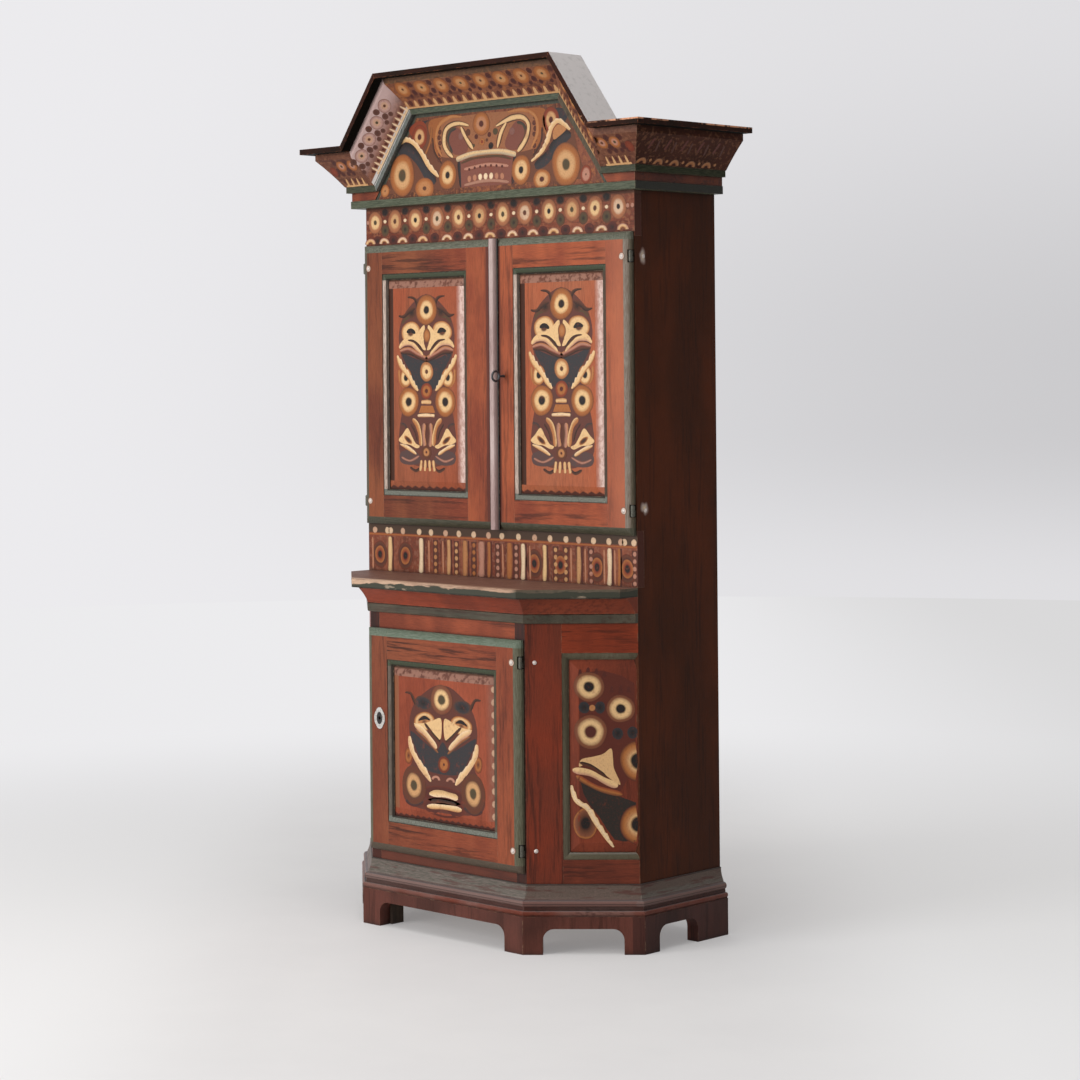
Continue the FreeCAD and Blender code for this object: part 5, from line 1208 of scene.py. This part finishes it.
def lower_door_half(o):
    o.stroke([(-124, 550), (-108, 550), (-98, 540), (-90, 524)], 8, (INK, BROWN), 0.3, (0.5, 0.2))
    o.ring(-64, 530, 30, [(0.02, INK), (0.7, SLATE), (1.0, BROWN)], 0.2, 0.55)
    o.ring(-61, 488, 36, [(0.02, BROWN), (0.30, TAN), (0.50, TAN), (0.72, CREAM), (0.92, OCHRE),
                          (1.0, BROWN)], 0.3, 0.62, 10)
    o.stroke([(-80, 489), (-60, 497), (-42, 493)], 8, (INK, INK), 0.36, (0.4, 0.4))
    o.field([(-96, 480), (-62, 484), (-34, 492), (-8, 500), (-3, 480), (-8, 452), (-24, 458),
             (-48, 470)], CREAM, 0.40)
    o.stroke([(-60, 484), (-38, 466), (-10, 446)], 7, (BROWN, INK), 0.46)
    o.stroke([(-93, 478), (-62, 464), (-36, 444), (-20, 430)], 14, (PINK, CREAM, PALE), 0.44,
             (0.2, 0.3))
    o.stroke([(-90, 466), (-60, 450), (-34, 432), (-16, 420)], 6, (SLATE, OCHRE), 0.4)
    o.stroke([(-111, 450), (-102, 420), (-80, 392), (-57, 371), (-40, 352)], 17,
             (blend(CREAM, PINK, 0.5), CREAM, PALE), 0.42, (0.2, 0.3), teeth=6, bite=0.35)
    o.ring(-114, 405, 13, [(0.02, MAROON), (0.6, OCHRE), (1.0, RED_BROWN)], 0.3, 1.5)
    o.flower(-97, 338, 26, 10, blend(CREAM, TAN, 0.6), BROWN, OLIVE, 1.5, 0.42, squash=1.15)
    o.ring(-24, 356, 16, [(0.45, BROWN), (0.6, PINK), (0.9, PINK), (1.0, BROWN)], 0.35, 0.75,
           arc=(10, 160))
    o.stroke([(-126, 300), (-96, 292), (-66, 302)], 8, (MAROON, SLATE), 0.2)


def cant_panel(side):
    """Half a figure, cut off by the panel's edges, above a dark ground."""
    name = "right" if side > 0 else "left"
    o = Ornament(f"cant_panel_{name}_ornament", "carcass", cant_face(side))
    o.field([(121, 382), (135, 374), (160, 362), (188, 352), (212, 344), (244, 332), (244, 247),
             (215, 246), (196, 250), (180, 272), (164, 298), (140, 330), (128, 352)],
            (0.022, 0.017, 0.014), 0.15, False)
    o.field([(120, 300), (120, 606), (130, 620), (172, 625), (215, 613), (243, 596), (244, 440),
             (230, 392), (212, 360), (180, 330), (150, 300), (130, 285)],
            blend(RED_BROWN, MAROON, 0.7), 0.08, False)
    for u, v, height in ((122, 628, 18), (140, 632, 12), (158, 630, 20), (176, 622, 12),
                         (192, 590, 14), (212, 592, 18), (230, 588, 12)):
        o.stroke([(u, v - height), (u + 1, v)], 10, (MAROON, MAROON), 0.2, (0.1, 0.9))
    rim = (0.16, 0.060, 0.030)
    o.flower(142, 589, 28, 11, CREAM, rim, INK, 1.2, 0.4)
    o.flower(145, 489, 31, 13, CREAM, rim, MAROON, 1.2, 0.4)
    o.flower(212, 540, 26, 10, CREAM, rim, INK, 1.2, 0.4)
    for u, v in ((131, 543), (166, 543), (205, 485), (238, 487)):
        o.ring(u, v, 12, disc(INK, SLATE), 0.3, 1.1)
    o.dot(149, 542, 7, TAN, 0.35)
    for v in (424, 284):
        o.ring(249, v, 34, [(0.02, INK), (0.40, INK), (0.55, blend(CREAM, TAN, 0.4)), (0.75, TAN),
                            (0.95, OCHRE), (1.2, MAROON)], 0.3, 1.1, arc=(98, 164))
    o.field([(119, 412), (124, 428), (150, 434), (172, 440), (190, 452), (194, 430), (196, 408),
             (210, 372), (186, 386), (160, 408), (136, 418)], blend(CREAM, TAN, 0.25), 0.40)
    o.stroke([(120, 421), (148, 412), (178, 390)], 7, (BROWN, INK), 0.46)
    o.stroke([(104, 404), (142, 398), (176, 380), (204, 368)], 14, (PINK, CREAM, CREAM), 0.43)
    o.stroke([(112, 391), (160, 364), (214, 350)], 12, (BROWN, OCHRE, RED), 0.3)
    o.ring(132, 286, 27, [(0.02, INK), (0.30, INK), (0.48, BROWN), (0.8, (0.17, 0.060, 0.030)),
                          (0.94, OCHRE), (1.0, MAROON)], 0.25, 1.35)
    o.stroke([(101, 370), (112, 338), (138, 320), (156, 290), (176, 260), (194, 233)], 13,
             (CREAM, PALE, CREAM), 0.42, (0.15, 0.2), teeth=9, bite=0.5)
    o.done()


def cove_row(o, starts, pitch, radius, ring, pale, teeth=2, halo=OCHRE, spot=MAROON):
    """Flowers along the hollow, dark spots between them and a row of pale teeth at its foot."""
    for i, u in enumerate(starts):
        o.flower(u, 60, radius, 3.5, ring, halo, OLIVE if i % 2 else BROWN, 1.6, 0.3)
        for step, v, size in ((0.5, 72, 8), (0.5, 47, 8), (0.25, 37, 6), (0.75, 37, 6)):
            o.ring(u + step * pitch, v, size, disc(blend(spot, INK, 0.5), spot), 0.25, 1.1)
        for k in range(teeth):
            at = u + (k + 0.5 - 0.5 * teeth) * pitch / teeth
            width = 0.36 * pitch / teeth
            o.stroke([(at, 24), (at, 2)], width, (blend(pale, TAN, 0.3), pale), 0.35, (0.7, 0.1))
            o.dot(at + 0.5 * pitch / teeth, 16, 0.2 * pitch / teeth, MAROON, 0.3, 1.4)
    first, last = starts[0] - 0.5 * pitch, starts[-1] + 0.5 * pitch
    o.stroke([(first, 3), (0.5 * (first + last), 3), (last, 3)], 5, (pale, blend(pale, TAN, 0.5)),
             0.3, (0.01, 0.01))


def coves():
    """Rows of flowers in the hollows of the crown, and half moons on its returns."""
    pitch = 65.4
    gold = blend(TAN, CREAM, 0.15)
    o = Ornament("cove_ridge_ornament", "carcass", ridge_cove)
    cove_row(o, [-229 + pitch * k for k in range(8)], pitch, 15, gold, blend(TAN, CREAM, 0.5))
    o.done()
    # On the left slope the flowers, teeth and spots are paler and rosier: painted sheen.
    rose_sheen = (0.42, 0.26, 0.22)
    for side, name, ring, pale, halo, spot in (
            (1, "right", gold, blend(TAN, CREAM, 0.5), OCHRE, MAROON),
            (-1, "left", blend(PINK, PALE, 0.3), PALE, rose_sheen, (0.11, 0.045, 0.032))):
        o = Ornament(f"cove_slope_{name}_ornament", "carcass", slope_cove(side))
        cove_row(o, [62 + 47 * k for k in range(4)], 47, 11, ring, pale, 3, halo, spot)
        o.done()
        o = Ornament(f"cove_return_{name}_ornament", "carcass", return_cove(side))
        for k in range(5):
            u = -52 + 55 * k
            o.ring(u, 3, 17, [(0.35, BROWN), (0.5, OCHRE), (0.8, TAN), (1.0, BROWN)], 0.3, 0.9,
                   arc=(0, 180))
            o.dot(u + 27, 12, 4, TAN, 0.35)
            o.stroke([(u, 40), (u + 4, 70)], 8, (MAROON, RED_BROWN, MAROON), 0.2)
            o.stroke([(u + 28, 34), (u + 24, 64)], 6, (BROWN, MAROON), 0.2)
        o.done()
    o = Ornament("cove_lows_ornament", "carcass", low_cove)
    for o.flip in (1, -1):
        cove_row(o, [410, 448], 38, 10, PINK, blend(TAN, CREAM, 0.6))
        o.ring(484, 46, 12, disc(RED, RED_BROWN), 0.25, 1.2)
    o.done()


def nail_patches():
    """Bare wood round the nails in the side boards, chipped paint round those in the doors."""
    for side, name in ((1, "right"), (-1, "left")):
        def side_face(u, v, lift, side=side):
            return side * (HALF_WIDTH + lift), u, v
        o = Ornament(f"nail_patches_{name}", "carcass", side_face)
        for v in (983, 1543):
            o.ring(-6, v, 13, [(0.02, PALE), (0.55, (0.36, 0.29, 0.25)), (0.8, (0.16, 0.09, 0.07)),
                               (1.0, SIDE_BROWN)], 0.1, 1.35, uneven=0.35)
        o.done()
    chipped = [(0.02, PALE), (0.7, (0.55, 0.44, 0.37)), (0.85, (0.27, 0.15, 0.10)), (1.0, BROWN)]
    for side in ("left", "right"):
        o = Ornament(f"upper_{side}_door_nails", f"upper_{side}_door", flat(UPPER_DOOR_FACE))
        for v in (978, 1543):
            o.ring(-415 if side == "left" else 415, v, 8.5, chipped, 0.1)
        o.done()
    o = Ornament("lower_door_nails", "lower_door", flat(LOWER_DOOR_FACE))
    for v in (225, 643):
        o.ring(227, v, 8.5, chipped, 0.1)
    o.done()


def ornament():
    frieze()
    nail_patches()
    apron()
    tympanum()
    upper_door("right", 227, 0)
    upper_door("left", -216, -4)
    lower_door()
    cant_panel(1)
    cant_panel(-1)
    coves()


# --- camera, light and floor --------------------------------------------------------------

CAMERA_AT = Vector((4.3469, -4.3974, 1.2852))
CAMERA_ALONG = Vector((-0.6934, 0.7206, 0.0)).normalized()
CAMERA_RIGHT = (0.7206, 0.6934, 0.0)
CAMERA_ROLL = math.radians(-0.496)

BACKDROP = (0.84, 0.832, 0.853)
FAR_FLOOR = (0.84, 0.835, 0.85)
FAR_FLOOR_RIGHT = (0.70, 0.695, 0.70)
FLOOR = (0.63, 0.612, 0.600)
BRIGHT_SIDE = Vector((-0.35, -0.70, 0.62)).normalized()


def camera():
    lens = bpy.data.cameras.new("camera")
    lens.sensor_width = 36.0
    lens.lens = 88.14
    lens.shift_y = -0.1545
    lens.clip_end = 60.0
    holder = placed("camera", lens)
    right = CAMERA_ALONG.cross(Vector((0, 0, 1)))
    turn = Matrix((right, right.cross(CAMERA_ALONG), -CAMERA_ALONG)).transposed()
    turn = turn @ Matrix.Rotation(CAMERA_ROLL, 3, "Z")
    holder.matrix_world = Matrix.Translation(CAMERA_AT) @ turn.to_4x4()
    bpy.context.scene.camera = holder


def softbox(name, at, towards, size, power):
    light = bpy.data.lights.new(name, "AREA")
    light.shape = "RECTANGLE"
    light.size, light.size_y = size
    light.energy = power
    holder = placed(name, light)
    holder.location = at
    holder.rotation_euler = (Vector(towards) - Vector(at)).to_track_quat("-Z", "Y").to_euler()


def backdrop_level(w, way):
    """The backdrop's brightness by direction: a little darker to the right of the cupboard."""
    height = w.add("SeparateXYZ", {0: way}).outputs[2]
    right = w.rise(w.dot(way, CAMERA_RIGHT), -0.22, 0.24)
    band = w.times(w.rise(height, -0.085, -0.02), w.rise(height, 0.14, 0.0, end=0.17))
    return w.math("SUBTRACT", 1.0, w.times(right, w.math("ADD", band, 0.12)))


def studio():
    """A large soft lamp at the front, one above, and a room that is darker at the back."""
    softbox("key", (-1.2, -4.6, 1.7), (0.0, 0.0, 1.0), (2.2, 2.8), 165.0)
    softbox("top", (0.6, -0.6, 4.6), (0.0, 0.0, 0.5), (3.0, 3.0), 95.0)
    world = bpy.data.worlds.new("studio")
    bpy.context.scene.world = world
    world.use_nodes = True
    w = Nodes(world.node_tree)
    way = w.add("TexCoord").outputs["Generated"]
    rays = w.add("LightPath").outputs
    seen = rays["Is Camera Ray"]
    for ray in ("Is Glossy Ray", "Is Transmission Ray"):
        seen = w.most(seen, rays[ray])
    room = w.rise(w.dot(way, BRIGHT_SIDE), -0.35, 0.9, 0.05, 0.72)
    ambient = w.add("Background", {"Color": (1.0, 1.0, 1.0), "Strength": room}).outputs[0]
    pale = w.add("Background", {"Color": BACKDROP, "Strength": backdrop_level(w, way)}).outputs[0]
    mixed = w.add("MixShader", {0: seen, 1: ambient, 2: pale}).outputs[0]
    w.add("OutputWorld", {0: mixed})


def floor():
    """A pale floor that keeps the cupboard's shadow, lifted at its sides by painted light, and
    fades into the backdrop far away.
    """
    mesh = bpy.data.meshes.new("floor")
    shape = bmesh.new()
    bmesh.ops.create_circle(shape, cap_ends=True, segments=96, radius=9.0)
    shape.to_mesh(mesh)
    shape.free()
    plane = placed("floor", mesh)
    s = Shader("floor")
    away = s.add("VectorMath", {0: s.place}, operation="LENGTH").outputs["Value"]
    far = s.math("MULTIPLY_ADD", s.rise(away, 1.0, 3.6), 0.75, 0.25)
    mottle = s.rise(s.noise(3.0, detail=5.0, rough=0.6), 0.3, 0.7)
    s.colour = s.mix(s.times(mottle, 0.25), FLOOR, (0.74, 0.72, 0.70))
    aside = s.dot(s.place, CAMERA_RIGHT)
    # Painted light: the floor is lighter beside the cupboard, left and right, lifting its shadow
    # there.
    s.lay(s.rise(aside, -0.45, -1.0), (0.73, 0.72, 0.71))
    s.lay(s.rise(aside, 0.45, 1.0), (0.80, 0.79, 0.78))
    distant = s.mix(s.rise(aside, 0.4, 2.6), FAR_FLOOR, FAR_FLOOR_RIGHT)
    near = s.add("BsdfPrincipled", {"Base Color": s.colour, "Roughness": 0.65}).outputs[0]
    glow = s.add("Emission", {"Color": distant, "Strength": 1.0}).outputs[0]
    s.add("OutputMaterial", {0: s.add("MixShader", {0: far, 1: near, 2: glow}).outputs[0]})
    mesh.materials.append(s.material)


bpy.context.scene.view_settings.view_transform = "Standard"
camera()
studio()
floor()
coat_doors()
coat_lower_part()
coat_cornice()
coat_bare_wood_and_metal()
ornament()
